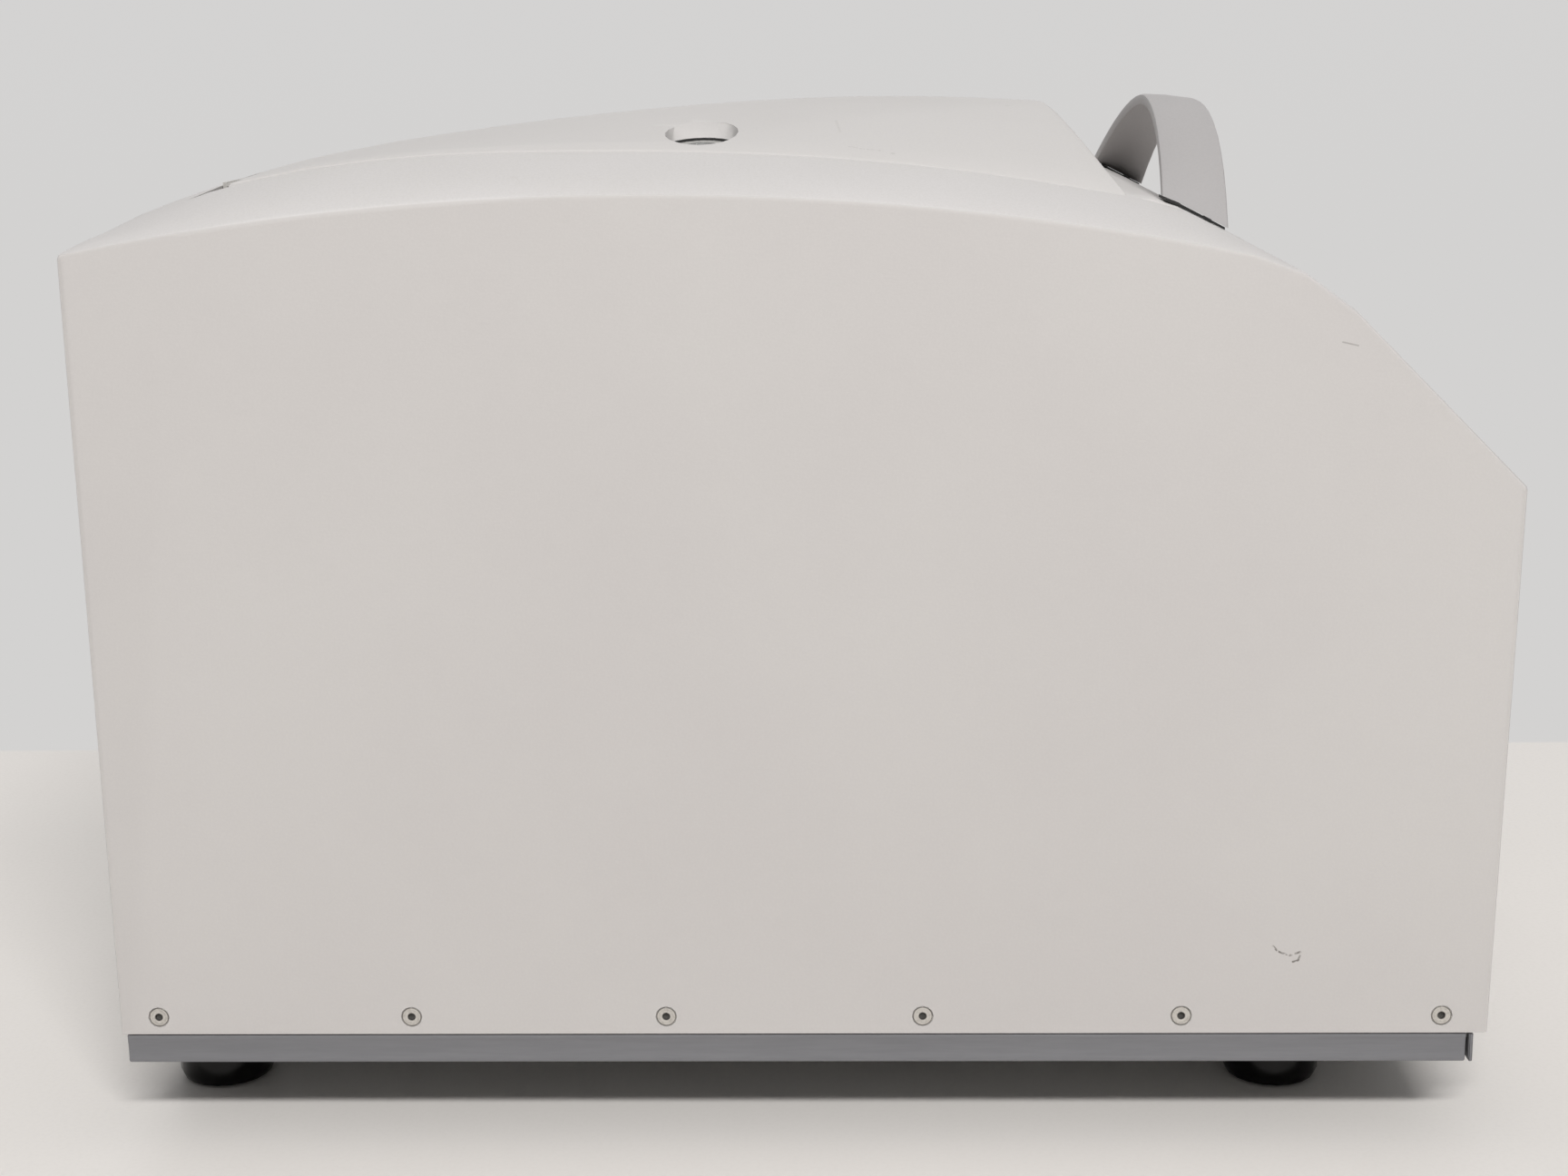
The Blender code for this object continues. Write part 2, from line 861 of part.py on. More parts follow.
def screw_hole(name, at, direction):
    # Countersunk hole whose mouth faces along direction
    reach = screw_head_radius + clearance
    drop = reach - screw_shank_radius - clearance
    lip = screw_recess * 2
    profile = [(0, overrun), (reach, overrun), (reach, -lip), (screw_shank_radius + clearance, -drop - lip),
               (screw_shank_radius + clearance, -screw_hole_depth), (0, -screw_hole_depth)]
    return turned(name, profile, facets_screw, at, turn=screw_turn(direction))


def make_screw(name, at, direction, finish):
    drop = screw_head_radius - screw_shank_radius
    profile = [(0, -screw_recess), (screw_head_radius, -screw_recess),
               (screw_head_radius, -screw_recess * 2), (screw_shank_radius, -drop - screw_recess * 2),
               (screw_shank_radius, -screw_length), (0, -screw_length)]
    made = turned(name, profile, facets_screw, at, finish, turn=screw_turn(direction))
    turn = Matrix.Translation(at) @ screw_turn(direction)
    socket_radius = screw_socket_flats / 2 / math.cos(math.pi / hex_sides)
    socket = rod(name + "_socket", socket_radius, (0, 0, -screw_recess - screw_socket_depth),
                 (0, 0, overrun), hex_sides, matrix=turn)
    return cut(made, socket)


def flank_screw_places(side):
    first = rear_y - flank_screw_rear_margin
    places = [first - flank_screw_pitch * i for i in range(flank_screw_count)]
    return [(side * half_width, y, flank_screw_z) for y in places]


def panel_screw_places():
    heights = (panel_screw_low_z, panel_screw_high_z)
    return [(side * panel_screw_x, rear_y, z) for side in (-1, 1) for z in heights]


def fascia_frame():
    # Local x along the machine's width, local y up the slope, local z out of the slope
    middle = (slope_top + front_corner) / 2
    turn = Matrix(((1, 0, 0), (0, slope_up.x, slope_out.x), (0, slope_up.y, slope_out.y))).to_4x4()
    return Matrix.Translation((0, middle.x, middle.y)) @ turn


def make_hood():
    body = hood_body()
    cavity = hood_cavity()
    cut(cavity, recess_well())
    cut(body, cavity)
    cut(body, recess_space())
    bowl_hole = rod("bowl_hole", bowl_radius + bowl_wall + clearance,
                    (0, rotor_y, deck_z - hood_wall - overrun), (0, rotor_y, deck_z + overrun), facets_large)
    slot_half = striker_width / 2 + slot_rear_room
    slot_rear = striker_y + striker_thickness + slot_rear_room
    slot = box("striker_slot", (-slot_half, striker_y - slot_front_room, deck_z - overrun),
               (slot_half, slot_rear, deck_z + overrun))
    window = box("rear_window", (-window_half_width, rear_y - hood_wall - overrun, window_low_z),
                 (window_half_width, rear_y + overrun, window_high_z))
    fascia_hole = slab("fascia_hole", rounded_box_outline(fascia_width, fascia_height, fascia_round),
                       (hood_wall + overrun) * 2, matrix=fascia_frame())
    holes = [screw_hole("panel_hole", at, (0, 1, 0)) for at in panel_screw_places()]
    for side in (-1, 1):
        holes += [screw_hole("flank_hole", at, (side, 0, 0)) for at in flank_screw_places(side)]
    tools = joined("hood_holes", holes + [bowl_hole, slot, window, fascia_hole])
    cut(body, tools)
    smooth(body)
    return body


# Base

def make_rail(name, side):
    # The outer face is a shallow cove
    low = rail_bottom_z
    high = hood_base_z - rail_top_gap
    outer = side * (half_width - rail_side_inset)
    wall_x = side * (half_width - rail_wall)
    ledge_top = low + rail_ledge_height
    ledge_x = side * (half_width - rail_ledge_width)
    outline = []
    for i in range(rail_cove_steps + 1):
        share = i / rail_cove_steps
        depth = rail_cove * 4 * share * (1 - share)
        outline.append((outer - side * depth, low + (high - low) * share))
    outline += [(wall_x, high), (wall_x, ledge_top), (ledge_x, ledge_top), (ledge_x, low)]
    ends = (rear_y - rail_rear_inset, front_y + rail_front_inset)
    made = loft(name, [[(x, y, z) for x, z in outline] for y in ends], "rail_paint")
    return round_edges(made, rail_round)


def front_rail_y():
    return front_y + rail_front_inset - front_rail_gap - cross_rail_thickness


def make_cross_rails():
    # The front one closes the ends of the side rails, and the rear one stands between them
    low = rail_bottom_z
    high = hood_base_z - rail_top_gap
    between = half_width - rail_ledge_width - clearance
    rear = rear_y - rail_rear_inset
    side = half_width - rail_side_inset
    front_rail = box("base_rail_front", (-side, front_rail_y(), low),
                     (side, front_rail_y() + cross_rail_thickness, high), "rail_paint")
    round_edges(front_rail, cross_rail_round, 1)
    box("base_rail_rear", (-between, rear - cross_rail_thickness, low), (between, rear, high), "rail_paint")


def make_pan():
    floor_z = rail_bottom_z + rail_ledge_height + clearance
    side = half_width - hood_wall - clearance
    rear = rear_y - rail_rear_inset - cross_rail_thickness - clearance
    front = front_rail_y() + cross_rail_thickness + clearance
    low = (-side, front, floor_z)
    high = (side, rear, floor_z + pan_flange_height)
    pan = box("base_pan", low, high, "zinc")
    inner = pan_flange_thickness
    hollow = box("pan_hollow", (low[0] + inner, low[1] + inner, floor_z + pan_thickness),
                 (high[0] - inner, high[1] - inner, high[2] + overrun))
    cut(pan, hollow)
    holes = []
    for sign in (-1, 1):
        for x, y, z in flank_screw_places(sign):
            holes.append(rod("pan_hole", screw_shank_radius + clearance, (x - sign * overrun * 2, y, z),
                             (x, y, z), facets_small))
    for x, y in foot_places():
        holes.append(rod("pan_foot_hole", foot_stud_radius + clearance, (x, y, floor_z - overrun),
                         (x, y, floor_z + overrun), facets_mid))
    cut(pan, joined("pan_holes", holes))
    return pan


def foot_places():
    return [(side * foot_x, y) for y in (foot_front_y, foot_rear_y) for side in (-1, 1)]


def pan_floor_top():
    return rail_bottom_z + rail_ledge_height + clearance + pan_thickness


def make_feet():
    # Each foot carries the stud that holds it in the pan
    top = rail_bottom_z + rail_ledge_height
    names = ("foot_front_left", "foot_front_right", "foot_rear_left", "foot_rear_right")
    stud_top = pan_floor_top() + foot_stud_proud
    half_turn = foot_round * (1 - math.sqrt(0.5))
    for name, (x, y) in zip(names, foot_places()):
        profile = [(0, stud_top), (foot_stud_radius, stud_top), (foot_stud_radius, top),
                   (foot_top_radius, top), (foot_radius, foot_bottom_z + foot_shoulder_height),
                   (foot_radius, foot_bottom_z + foot_round),
                   (foot_radius - half_turn, foot_bottom_z + half_turn),
                   (foot_radius - foot_round, foot_bottom_z), (0, foot_bottom_z)]
        turned(name, profile, facets_mid, (x, y, 0), "gloss_black")


def make_base():
    make_rail("base_rail_left", -1)
    make_rail("base_rail_right", 1)
    make_cross_rails()
    make_pan()
    make_feet()
    for side, label in ((-1, "left"), (1, "right")):
        for number, at in enumerate(flank_screw_places(side)):
            make_screw("flank_screw_" + label + "_" + str(number + 1), at, (side, 0, 0), "zinc")


# Lid

def lid_section(x, inset, rows, low_z, extra_drop):
    # One slice of the lid at x, as (y, z) points from its rear foot over the dome, the cut and the lip
    rear = lid_rear_y - inset
    front = lid_front_y + inset
    share = max(inward(x), 0)
    lift = lid_step * (1 - share) - extra_drop - inset
    crest_z = cut_corner_z + cut_rise * share + lift
    crest_y = cut_corner_y + cut_lean * cut_rise * share + (inset if share > 0 else 0)
    lip_lift = -extra_drop - inset
    root_y = crest_y
    for _ in range(6):
        root_y = crest_y - cut_lean * (crest_z - band_height(x, root_y) - lip_lift)
    root_z = band_height(x, root_y) + lip_lift
    drop = math.hypot(crest_y - root_y, crest_z - root_z)
    turn = max(lid_corner_round - inset, least_round)

    def dome(y):
        near = dome_height(x, y) + lift
        blend = min(max((y - crest_y) / (station_mid - crest_y), 0), 1)
        at_crest = dome_height(x, crest_y) + lift
        return near + (crest_z - at_crest) * (1 - blend)

    rear_top = rear - turn * 2
    points = [(rear, low_z)]
    points += rounded_path([(rear, low_z), (rear, dome(rear)), (rear_top, dome(rear_top))], [turn],
                           corner_steps)[1:-1]
    domed = [(y, dome(y)) for y in spread(rear_top, crest_y + cut_crest_round * 2, rows)]
    points += domed
    lip_after = root_y - cut_root_round * 2
    crest_turn = min(cut_crest_round, drop * cut_turn_share)
    root_turn = min(cut_root_round, drop * cut_turn_share)
    bend = rounded_path([domed[-1], (crest_y, crest_z), (root_y, root_z),
                         (lip_after, band_height(x, lip_after) + lip_lift)], [crest_turn, root_turn],
                        bend_steps)
    points += bend[1:-1]
    lip_end = front + turn * 2
    points += [(y, band_height(x, y) + lip_lift) for y in spread(lip_after, lip_end, lip_rows)]
    before_edge = (lip_end, band_height(x, lip_end) + lip_lift)
    edge = (front, band_height(x, front) + lip_lift)
    points += rounded_path([before_edge, edge, (front, low_z)], [turn], corner_steps)[1:]
    return [(x, y, z) for y, z in points]


def lid_columns(half, radius, steps):
    edge = [(x, drop) for x, drop in flank_columns(half, radius, corner_steps)] if radius > 0 else [(half, 0)]
    middle = [(x, 0) for x in spread(half - radius, 0, steps)[1:]]
    pairs = edge + middle
    return [(-x, drop) for x, drop in pairs] + [(x, drop) for x, drop in reversed(pairs[:-1])]


lid_bottom_z = deck_z + lid_bottom_gap
liner_z = deck_z + lid_bottom_gap + liner_height


def oval(radius_x, radius_y):
    turns = [math.tau * i / facets_mid for i in range(facets_mid)]
    return [(radius_x * math.cos(turn), radius_y * math.sin(turn)) for turn in turns]


def port_frame():
    # Local z out of the dome at the middle of the port
    climb = dome_height(port_x + overrun, port_y) - dome_height(port_x - overrun, port_y)
    tilt = Matrix.Rotation(-math.atan2(climb, overrun * 2), 4, "Y")
    return Matrix.Translation((port_x, port_y, dome_height(port_x, port_y))) @ tilt


def port_disc(name, radius, low, high, finish=None):
    middle = port_frame() @ Matrix.Translation((0, 0, (low + high) / 2))
    return slab(name, oval(radius, radius), high - low, finish, middle)


def port_boss():
    middle = port_frame() @ Matrix.Translation((0, 0, (tall_overrun - port_boss_length) / 2))
    outline = oval(port_radius_x + port_wall, port_radius_y + port_wall)
    return slab("port_boss", outline, tall_overrun + port_boss_length, matrix=middle)


def port_dish():
    # An oval mouth in the dome that narrows to the round seat of the glass
    mouth = oval(port_radius_x, port_radius_y)
    seat = oval(port_window_radius, port_window_radius)
    frame = port_frame()
    floor = -port_glass_depth - port_glass_thickness - clearance
    levels = ((floor, seat), (-port_glass_depth, seat), (0, mouth), (tall_overrun, mouth))
    return loft("port_dish", [[frame @ Vector((x, y, z)) for x, y in outline] for z, outline in levels])


def make_lid():
    columns = lid_columns(lid_half_width, lid_edge_round, lid_steps)
    shell = loft("lid_shell", [lid_section(x, 0, lid_rows, lid_bottom_z, drop) for x, drop in columns],
                 "lid_paint")
    inner = lid_columns(lid_half_width - lid_wall, 0, lid_cavity_steps)
    cavity = loft("lid_cavity", [lid_section(x, lid_wall, lid_cavity_rows, lid_bottom_z - overrun, drop)
                                 for x, drop in inner])
    boss = port_boss()
    cut(boss, box("boss_floor", (-half_width, front_y, 0),
                  (half_width, rear_y, liner_z + liner_thickness + clearance)))
    cut(cavity, boss)
    cut(shell, cavity)
    dish = port_dish()
    cut(dish, port_disc("port_through", port_sight_radius, -port_boss_length, -port_glass_depth), "UNION")
    tools = [dish]
    for x, y in handle_stud_places():
        tools.append(rod("handle_stud_hole", handle_stud_radius + clearance,
                         (x, y, liner_z + liner_thickness), (x, y, arc_peak_z), facets_small))
    cut(shell, joined("lid_holes", tools))
    smooth(shell)
    make_liner()
    make_port()
    return shell


def make_liner():
    side = lid_half_width - lid_wall - clearance
    liner = box("lid_liner", (-side, lid_front_y + lid_wall + clearance, liner_z),
                (side, lid_rear_y - lid_wall - clearance, liner_z + liner_thickness), "lid_paint")
    cut(liner, port_disc("liner_port", port_sight_radius, -port_boss_length, 0))
    for side_x in (-1, 1):
        for y in (lid_front_y + buffer_inset, lid_rear_y - buffer_inset):
            x = side_x * (lid_half_width - buffer_inset)
            cut(liner, rod("buffer", buffer_radius, (x, y, deck_z + clearance),
                           (x, y, liner_z + liner_thickness / 2), facets_small), "UNION")
    return liner


def make_port():
    top = -port_glass_depth
    port_disc("port_glass", port_window_radius - clearance, top - port_glass_thickness, top, "glass")
    low = top + clearance
    gasket = port_disc("port_gasket", port_window_radius - clearance, low, low + port_gasket_thickness,
                       "rubber")
    cut(gasket, port_disc("gasket_hole", port_sight_radius, low - overrun, low + overrun))


# Handle

def handle_point(t, half_span, base_z, rise, power, base_y, lean):
    # Place on one edge of the bow at share t of its half span, and the direction into the strap
    out = min(abs(t), 1.5)
    drop = out ** power
    z = base_z + rise * (1 - drop)
    x = half_span * t
    slope = -rise * power * out ** (power - 1) / half_span * (1 if t >= 0 else -1)
    into = Vector((slope, 0, -1)).normalized()
    return Vector((x, base_y + lean * (z - base_z), z)), into


def handle_section(t):
    rear, rear_in = handle_point(t, handle_half_span, handle_rear_z, handle_rear_rise, handle_rear_power,
                                 handle_rear_y, handle_rear_lean)
    front, front_in = handle_point(t, handle_half_span, handle_front_z, handle_front_rise, handle_front_power,
                                   handle_front_y, handle_front_lean)
    middle_in = (rear_in + front_in).normalized()
    inner_rear = rear + rear_in * handle_thickness
    inner_front = front + front_in * handle_thickness
    inner_middle = (inner_rear + inner_front) / 2 - middle_in * handle_hollow
    outer_middle = (rear + front) / 2 - middle_in * handle_dish
    return [rear, outer_middle, front, inner_front, inner_middle, inner_rear]


def handle_stud_places():
    places = []
    for side in (-1, 1):
        places.append((side * handle_stud_rear_x, handle_stud_rear_y))
        places.append((side * handle_stud_front_x, handle_stud_front_y))
    return places


def lip_block(name, rise):
    # Everything below the lip's own surface raised by rise, across the handle's two feet
    sections = []
    for x in spread(-lid_half_width - overrun, lid_half_width + overrun, seat_steps):
        held = max(min(x, lid_half_width), -lid_half_width)
        top = [(y, band_height(held, y) + rise) for y in spread(station_cut, station_front, seat_rows)]
        path = [(station_cut, deck_z)] + top + [(station_front, deck_z)]
        sections.append([(x, y, z) for y, z in path])
    return loft(name, sections)


def make_handle():
    reach = [handle_reach_share * t for t in spread(-1, 1, handle_steps)]
    bow = loft("lid_handle", [handle_section(t) for t in reach], "handle_paint")
    round_edges(bow, handle_round)
    cut(bow, lip_block("handle_seat", clearance * 2 + handle_gasket))
    for x, y in handle_stud_places():
        seat = band_height(x, y)
        stud = rod("handle_stud", handle_stud_radius, (x, y, seat - lid_wall - handle_stud_proud),
                   (x, y, seat + handle_thickness / 2), facets_small)
        cut(bow, stud, "UNION")
    smooth(bow)
    make_handle_gaskets()


def make_handle_gaskets():
    for side, label in ((-1, "left"), (1, "right")):
        inner = side * (handle_half_span - handle_gasket_inset)
        outer = side * (lid_half_width - lid_edge_round - clearance)
        sections = []
        for x in spread(inner, outer, lip_rows):
            places = spread(handle_rear_y - handle_round, handle_front_y + handle_round, lip_rows)
            low = [(x, y, band_height(x, y) + clearance) for y in places]
            high = [(x, y, band_height(x, y) + clearance + handle_gasket) for y in reversed(places)]
            sections.append(low + high)
        pad = loft("handle_gasket_" + label, sections, "rubber")
        for x, y in handle_stud_places():
            if x * side > 0:
                seat = band_height(x, y)
                cut(pad, rod("gasket_hole", handle_stud_radius + clearance, (x, y, seat - overrun),
                             (x, y, seat + overrun), facets_small))


# Hinge

def knuckle(name, low_x, high_x):
    outer = rod(name, hinge_barrel_radius, (low_x, hinge_y, hinge_z), (high_x, hinge_y, hinge_z), facets_pin)
    return outer


def hinge_spans():
    pitch = 2 * hinge_half_length / hinge_knuckles
    return [(-hinge_half_length + pitch * i + hinge_knuckle_gap / 2,
             -hinge_half_length + pitch * (i + 1) - hinge_knuckle_gap / 2) for i in range(hinge_knuckles)]


def make_hinge():
    spans = hinge_spans()
    pin_space = hinge_pin_radius + hinge_pin_gap
    fixed_face = recess_rear_y - clearance
    lid_face = lid_rear_y + clearance
    top = hinge_z + hinge_barrel_radius
    fixed_low = (-hinge_half_length, fixed_face - hinge_leaf_thickness, hinge_z - hinge_leaf_drop)
    fixed = box("hinge_leaf_fixed", fixed_low, (hinge_half_length, fixed_face, top), "steel")
    shelf = box("hinge_shelf", (-hinge_half_length, hinge_y + hinge_barrel_radius + clearance * 2,
                                top - hinge_leaf_thickness),
                (hinge_half_length, fixed_face - hinge_leaf_thickness / 2, top - hinge_leaf_thickness / 4))
    cut(fixed, shelf, "UNION")
    moving = box("hinge_leaf_lid", (-hinge_half_length, lid_face, hinge_z - hinge_leaf_drop),
                 (hinge_half_length, lid_face + hinge_leaf_thickness / 2, hinge_z + hinge_leaf_thickness),
                 "steel")
    for number, (low, high) in enumerate(spans):
        owner, face = (moving, lid_face)
        if number % 2 == 0:
            owner, face = (fixed, fixed_face - hinge_leaf_thickness / 2)
        cut(owner, knuckle("knuckle_" + str(number), low, high), "UNION")
        web = box("knuckle_web_" + str(number), (low, min(face, hinge_y), hinge_z - hinge_leaf_thickness / 2),
                  (high, max(face, hinge_y), hinge_z + hinge_leaf_thickness / 2))
        cut(owner, web, "UNION")
    bore = rod("hinge_bore", pin_space, (-hinge_half_length - overrun, hinge_y, hinge_z),
               (hinge_half_length + overrun, hinge_y, hinge_z), facets_pin)
    cut(moving, bore)
    pin = rod("hinge_pin", hinge_pin_radius, (-hinge_half_length, hinge_y, hinge_z),
              (hinge_half_length, hinge_y, hinge_z), facets_pin)
    cut(fixed, pin, "UNION")
    smooth(fixed)
    smooth(moving)


# Lock

def make_striker():
    front = striker_y
    back = striker_y + striker_thickness
    top = liner_z - clearance
    plate = box("lid_striker", (-striker_width / 2, front, striker_bottom_z),
                (striker_width / 2, back, top - striker_head_thickness / 2), "steel")
    head_half = striker_head_width / 2
    head = box("striker_head", (-head_half, front - slot_rear_room, top - striker_head_thickness),
               (head_half, back + slot_rear_room * 3, top))
    cut(plate, head, "UNION")
    hole = box("striker_window", (-striker_window_width / 2, front - overrun, striker_window_low_z),
               (striker_window_width / 2, back + overrun, striker_window_low_z + striker_window_height))
    cut(plate, hole)
    return plate


def bolt_height():
    return striker_window_low_z + striker_window_height / 2


def make_lock():
    slot_front = striker_y - slot_front_room
    block_rear = slot_front - clearance
    block_front = block_rear - lock_block_length
    high = deck_z - hood_wall - clearance
    z = bolt_height()
    block = box("lock_frame", (-lock_block_width / 2, block_front, lock_block_low_z),
                (lock_block_width / 2, block_rear, high), "aluminium")
    coil_front = block_front - lock_coil_length
    cut(block, rod("lock_coil", lock_coil_radius, (0, coil_front, z),
                   (0, block_front + clearance, z), facets_mid), "UNION")
    cut(block, rod("bolt_bore", bolt_radius + clearance, (0, coil_front - overrun, z),
                   (0, block_rear + overrun, z), facets_mid))
    bolt_rear = striker_y - bolt_set_back
    rod("lock_bolt", bolt_radius, (0, bolt_rear - bolt_length, z), (0, bolt_rear, z), facets_mid, "steel")


# Chamber, rotor and drive

def make_chamber():
    rim = deck_z + clearance
    flange_top = rim + bowl_wall
    outer = bowl_radius + bowl_wall
    low = bowl_floor_z - bowl_wall
    bend = bowl_floor_round
    profile = [(bowl_radius, flange_top), (bowl_flange_radius, flange_top), (bowl_flange_radius, rim),
               (outer, rim), (outer, low + bend)]
    for step in range(1, 4):
        angle = math.pi / 2 * step / 4
        profile.append((outer - bend * (1 - math.cos(angle)), low + bend * (1 - math.sin(angle))))
    profile += [(outer - bend, low), (bowl_hole_radius, low), (bowl_hole_radius, bowl_floor_z),
                (outer - bend, bowl_floor_z)]
    for step in range(3, 0, -1):
        angle = math.pi / 2 * step / 4
        radius = bend - bowl_wall
        profile.append((outer - bend + radius * math.cos(angle), low + bend - radius * math.sin(angle)))
    profile.append((bowl_radius, low + bend))
    turned("chamber_bowl", profile, facets_large, (0, rotor_y, 0), "steel", closed=True)
    seat = flange_top + clearance
    top = liner_z - clearance
    seal_inner = bowl_radius + seal_inner_margin
    seal_outer = bowl_flange_radius - seal_outer_margin
    seal = [(seal_inner, top), (seal_outer - seal_taper, top), (seal_outer, seat), (seal_inner, seat)]
    turned("bowl_seal", seal, facets_large, (0, rotor_y, 0), "rubber", closed=True)
    foot = pan_floor_top() + clearance
    guard_outer = bowl_flange_radius
    guard = [(guard_outer - guard_wall, guard_top_z), (guard_outer, guard_top_z), (guard_outer, foot),
             (guard_outer - guard_wall, foot)]
    turned("guard_ring", guard, facets_large, (0, rotor_y, 0), "zinc", closed=True)


def rotor_outline():
    quarter = [(hub_half, 0), (arm_neck, channel_half), (block_end, channel_half),
               (block_end, block_end - block_cut), (block_end - block_cut, block_end),
               (channel_half, block_end), (channel_half, arm_neck)]
    points = []
    for turn in range(4):
        for x, y in quarter:
            for _ in range(turn):
                x, y = -y, x
            points.append((x, y))
    return points


def make_rotor():
    heights = (pivot_z - rotor_below, pivot_z + rotor_above)
    body = loft("rotor", [[(x, rotor_y + y, z) for x, y in rotor_outline()] for z in heights], "aluminium")
    round_edges(body, rotor_round, 1)
    pins = []
    for turn in range(4):
        matrix = Matrix.Translation((0, rotor_y, 0)) @ Matrix.Rotation(math.pi / 2 * turn, 4, "Z")
        for side in (-1, 1):
            pins.append(rod("trunnion", trunnion_radius,
                            (pivot_radius, side * (channel_half + trunnion_root), pivot_z),
                            (pivot_radius, side * (channel_half - trunnion_length), pivot_z), facets_small,
                            matrix=matrix))
    cut(body, joined("trunnions", pins), "UNION")
    step_hole = rod("rotor_bore", spindle_top_radius + clearance, (0, rotor_y, spindle_step_z - overrun),
                    (0, rotor_y, pivot_z + rotor_above + overrun), facets_mid)
    cone_hole = rod("rotor_seat", spindle_radius + clearance,
                    (0, rotor_y, pivot_z - rotor_below - overrun), (0, rotor_y, spindle_step_z + clearance),
                    facets_mid)
    cut(body, step_hole)
    cut(body, cone_hole)
    smooth(body)
    spin = axis_empty("rotor_axis", (0, rotor_y, pivot_z))
    hold(spin, body, make_spindle(), make_nut())
    for turn in range(4):
        make_bucket(turn, spin)


def make_spindle():
    profile = [(0, spindle_top_z), (spindle_top_radius, spindle_top_z), (spindle_top_radius, spindle_step_z),
               (spindle_radius, spindle_step_z), (spindle_radius, spindle_bottom_z), (0, spindle_bottom_z)]
    return turned("drive_spindle", profile, facets_mid, (0, rotor_y, 0), "steel")


def make_nut():
    low = pivot_z + rotor_above + clearance
    bore = spindle_top_radius + clearance
    roof = spindle_top_z + nut_roof_gap
    profile = [(0, low + nut_height), (nut_top_radius, low + nut_height), (nut_radius, low + nut_height / 2),
               (nut_radius, low), (bore, low), (bore, roof), (0, roof)]
    return turned("rotor_nut", profile, facets_mid, (0, rotor_y, 0), "dark_plastic")


def make_bucket(turn, spin):
    number = str(turn + 1)
    matrix = Matrix.Translation((0, rotor_y, 0)) @ Matrix.Rotation(math.pi / 2 * turn, 4, "Z")
    centre = matrix @ Vector((pivot_radius, 0, pivot_z))
    top = bucket_above
    low = -bucket_below
    inner = bucket_radius - bucket_wall
    rim_low = top - bucket_rim_height
    rim = bucket_radius + bucket_rim_proud
    bend = bucket_round
    turn_in = bend * bucket_bend_share
    floor = low + bucket_wall
    profile = [(inner, top), (rim, top), (rim, rim_low), (bucket_radius, rim_low - bucket_wall),
               (bucket_radius, low + bend), (bucket_radius - turn_in, low + turn_in),
               (bucket_radius - bend, low), (0, low), (0, floor), (inner - bend, floor),
               (inner - turn_in, floor + turn_in), (inner, floor + bend)]
    body = turned("bucket_" + number, profile, facets_bucket, centre, "aluminium", closed=True)
    for side in (-1, 1):
        tag = number + ("_a" if side < 0 else "_b")
        ear = rod("ear_" + tag, ear_radius, (pivot_radius, side * (inner + bucket_wall / 2), pivot_z),
                  (pivot_radius, side * ear_reach, pivot_z), facets_small, matrix=matrix)
        cut(body, ear, "UNION")
        hole_start = channel_half - trunnion_length - clearance
        hole = rod("ear_hole_" + tag, trunnion_radius + ear_clearance,
                   (pivot_radius, side * hole_start, pivot_z),
                   (pivot_radius, side * (ear_reach + overrun), pivot_z), facets_small, matrix=matrix)
        cut(body, hole)
    pivot = axis_empty("bucket_axis_" + number, centre)
    hold(pivot, body)
    hold(spin, pivot)


def make_drive():
    bore = motor_bore_radius
    shoulder = motor_top_z - motor_neck_height
    profile = [(bore, motor_top_z), (motor_neck_radius, motor_top_z), (motor_neck_radius, shoulder),
               (motor_radius - motor_round, shoulder), (motor_radius, shoulder - motor_round),
               (motor_radius, motor_bottom_z + motor_round), (motor_radius - motor_round, motor_bottom_z),
               (0, motor_bottom_z), (0, spindle_bottom_z - clearance), (bore, spindle_bottom_z - clearance)]
    turned("motor", profile, facets_mid + facets_small, (0, rotor_y, 0), "motor_paint", closed=True)
    side = motor_plate_half
    outline = rounded_box_outline(side * 2, side * 2, damper_radius, 3)
    plate_top = motor_bottom_z - clearance
    plate = slab("motor_plate", outline, motor_plate_thickness, "zinc",
                 Matrix.Translation((0, rotor_y, plate_top - motor_plate_thickness / 2)))
    low = pan_floor_top() + clearance
    high = plate_top - motor_plate_thickness / 2
    for i in range(damper_count):
        angle = math.tau * i / damper_count + math.pi / 2
        x = damper_ring_radius * math.cos(angle)
        y = rotor_y + damper_ring_radius * math.sin(angle)
        waist = (low + high) / 2
        profile = [(0, high), (damper_radius, high), (damper_radius * damper_waist_share, waist),
                   (damper_radius, low), (0, low)]
        cut(plate, turned("damper_" + str(i), profile, facets_small, (x, y, 0)), "UNION")


# Electrics

def make_electrics():
    low = pan_floor_top() + clearance
    inverter = box("drive_inverter", (inverter_x - inverter_width / 2, inverter_y - inverter_depth / 2, low),
                   (inverter_x + inverter_width / 2, inverter_y + inverter_depth / 2, low + inverter_height),
                   "aluminium")
    fin_pitch = inverter_width / inverter_fins
    for i in range(1, inverter_fins):
        x = inverter_x - inverter_width / 2 + fin_pitch * i
        gap = box("fin_gap_" + str(i), (x - fin_pitch / 4, inverter_y - inverter_depth / 2 - overrun,
                                        low + inverter_height - inverter_fin_depth),
                  (x + fin_pitch / 4, inverter_y + inverter_depth / 2 + overrun,
                   low + inverter_height + overrun))
        cut(inverter, gap)


# Control fascia

def key_layout():
    names = ("key_start", "key_stop", "key_lid", "key_set")
    places = []
    for number, name in enumerate(names):
        column = number // 2
        row = number % 2
        places.append((name, key_first_x + key_pitch_x * column, key_pitch_y * (0.5 - row)))
    return places


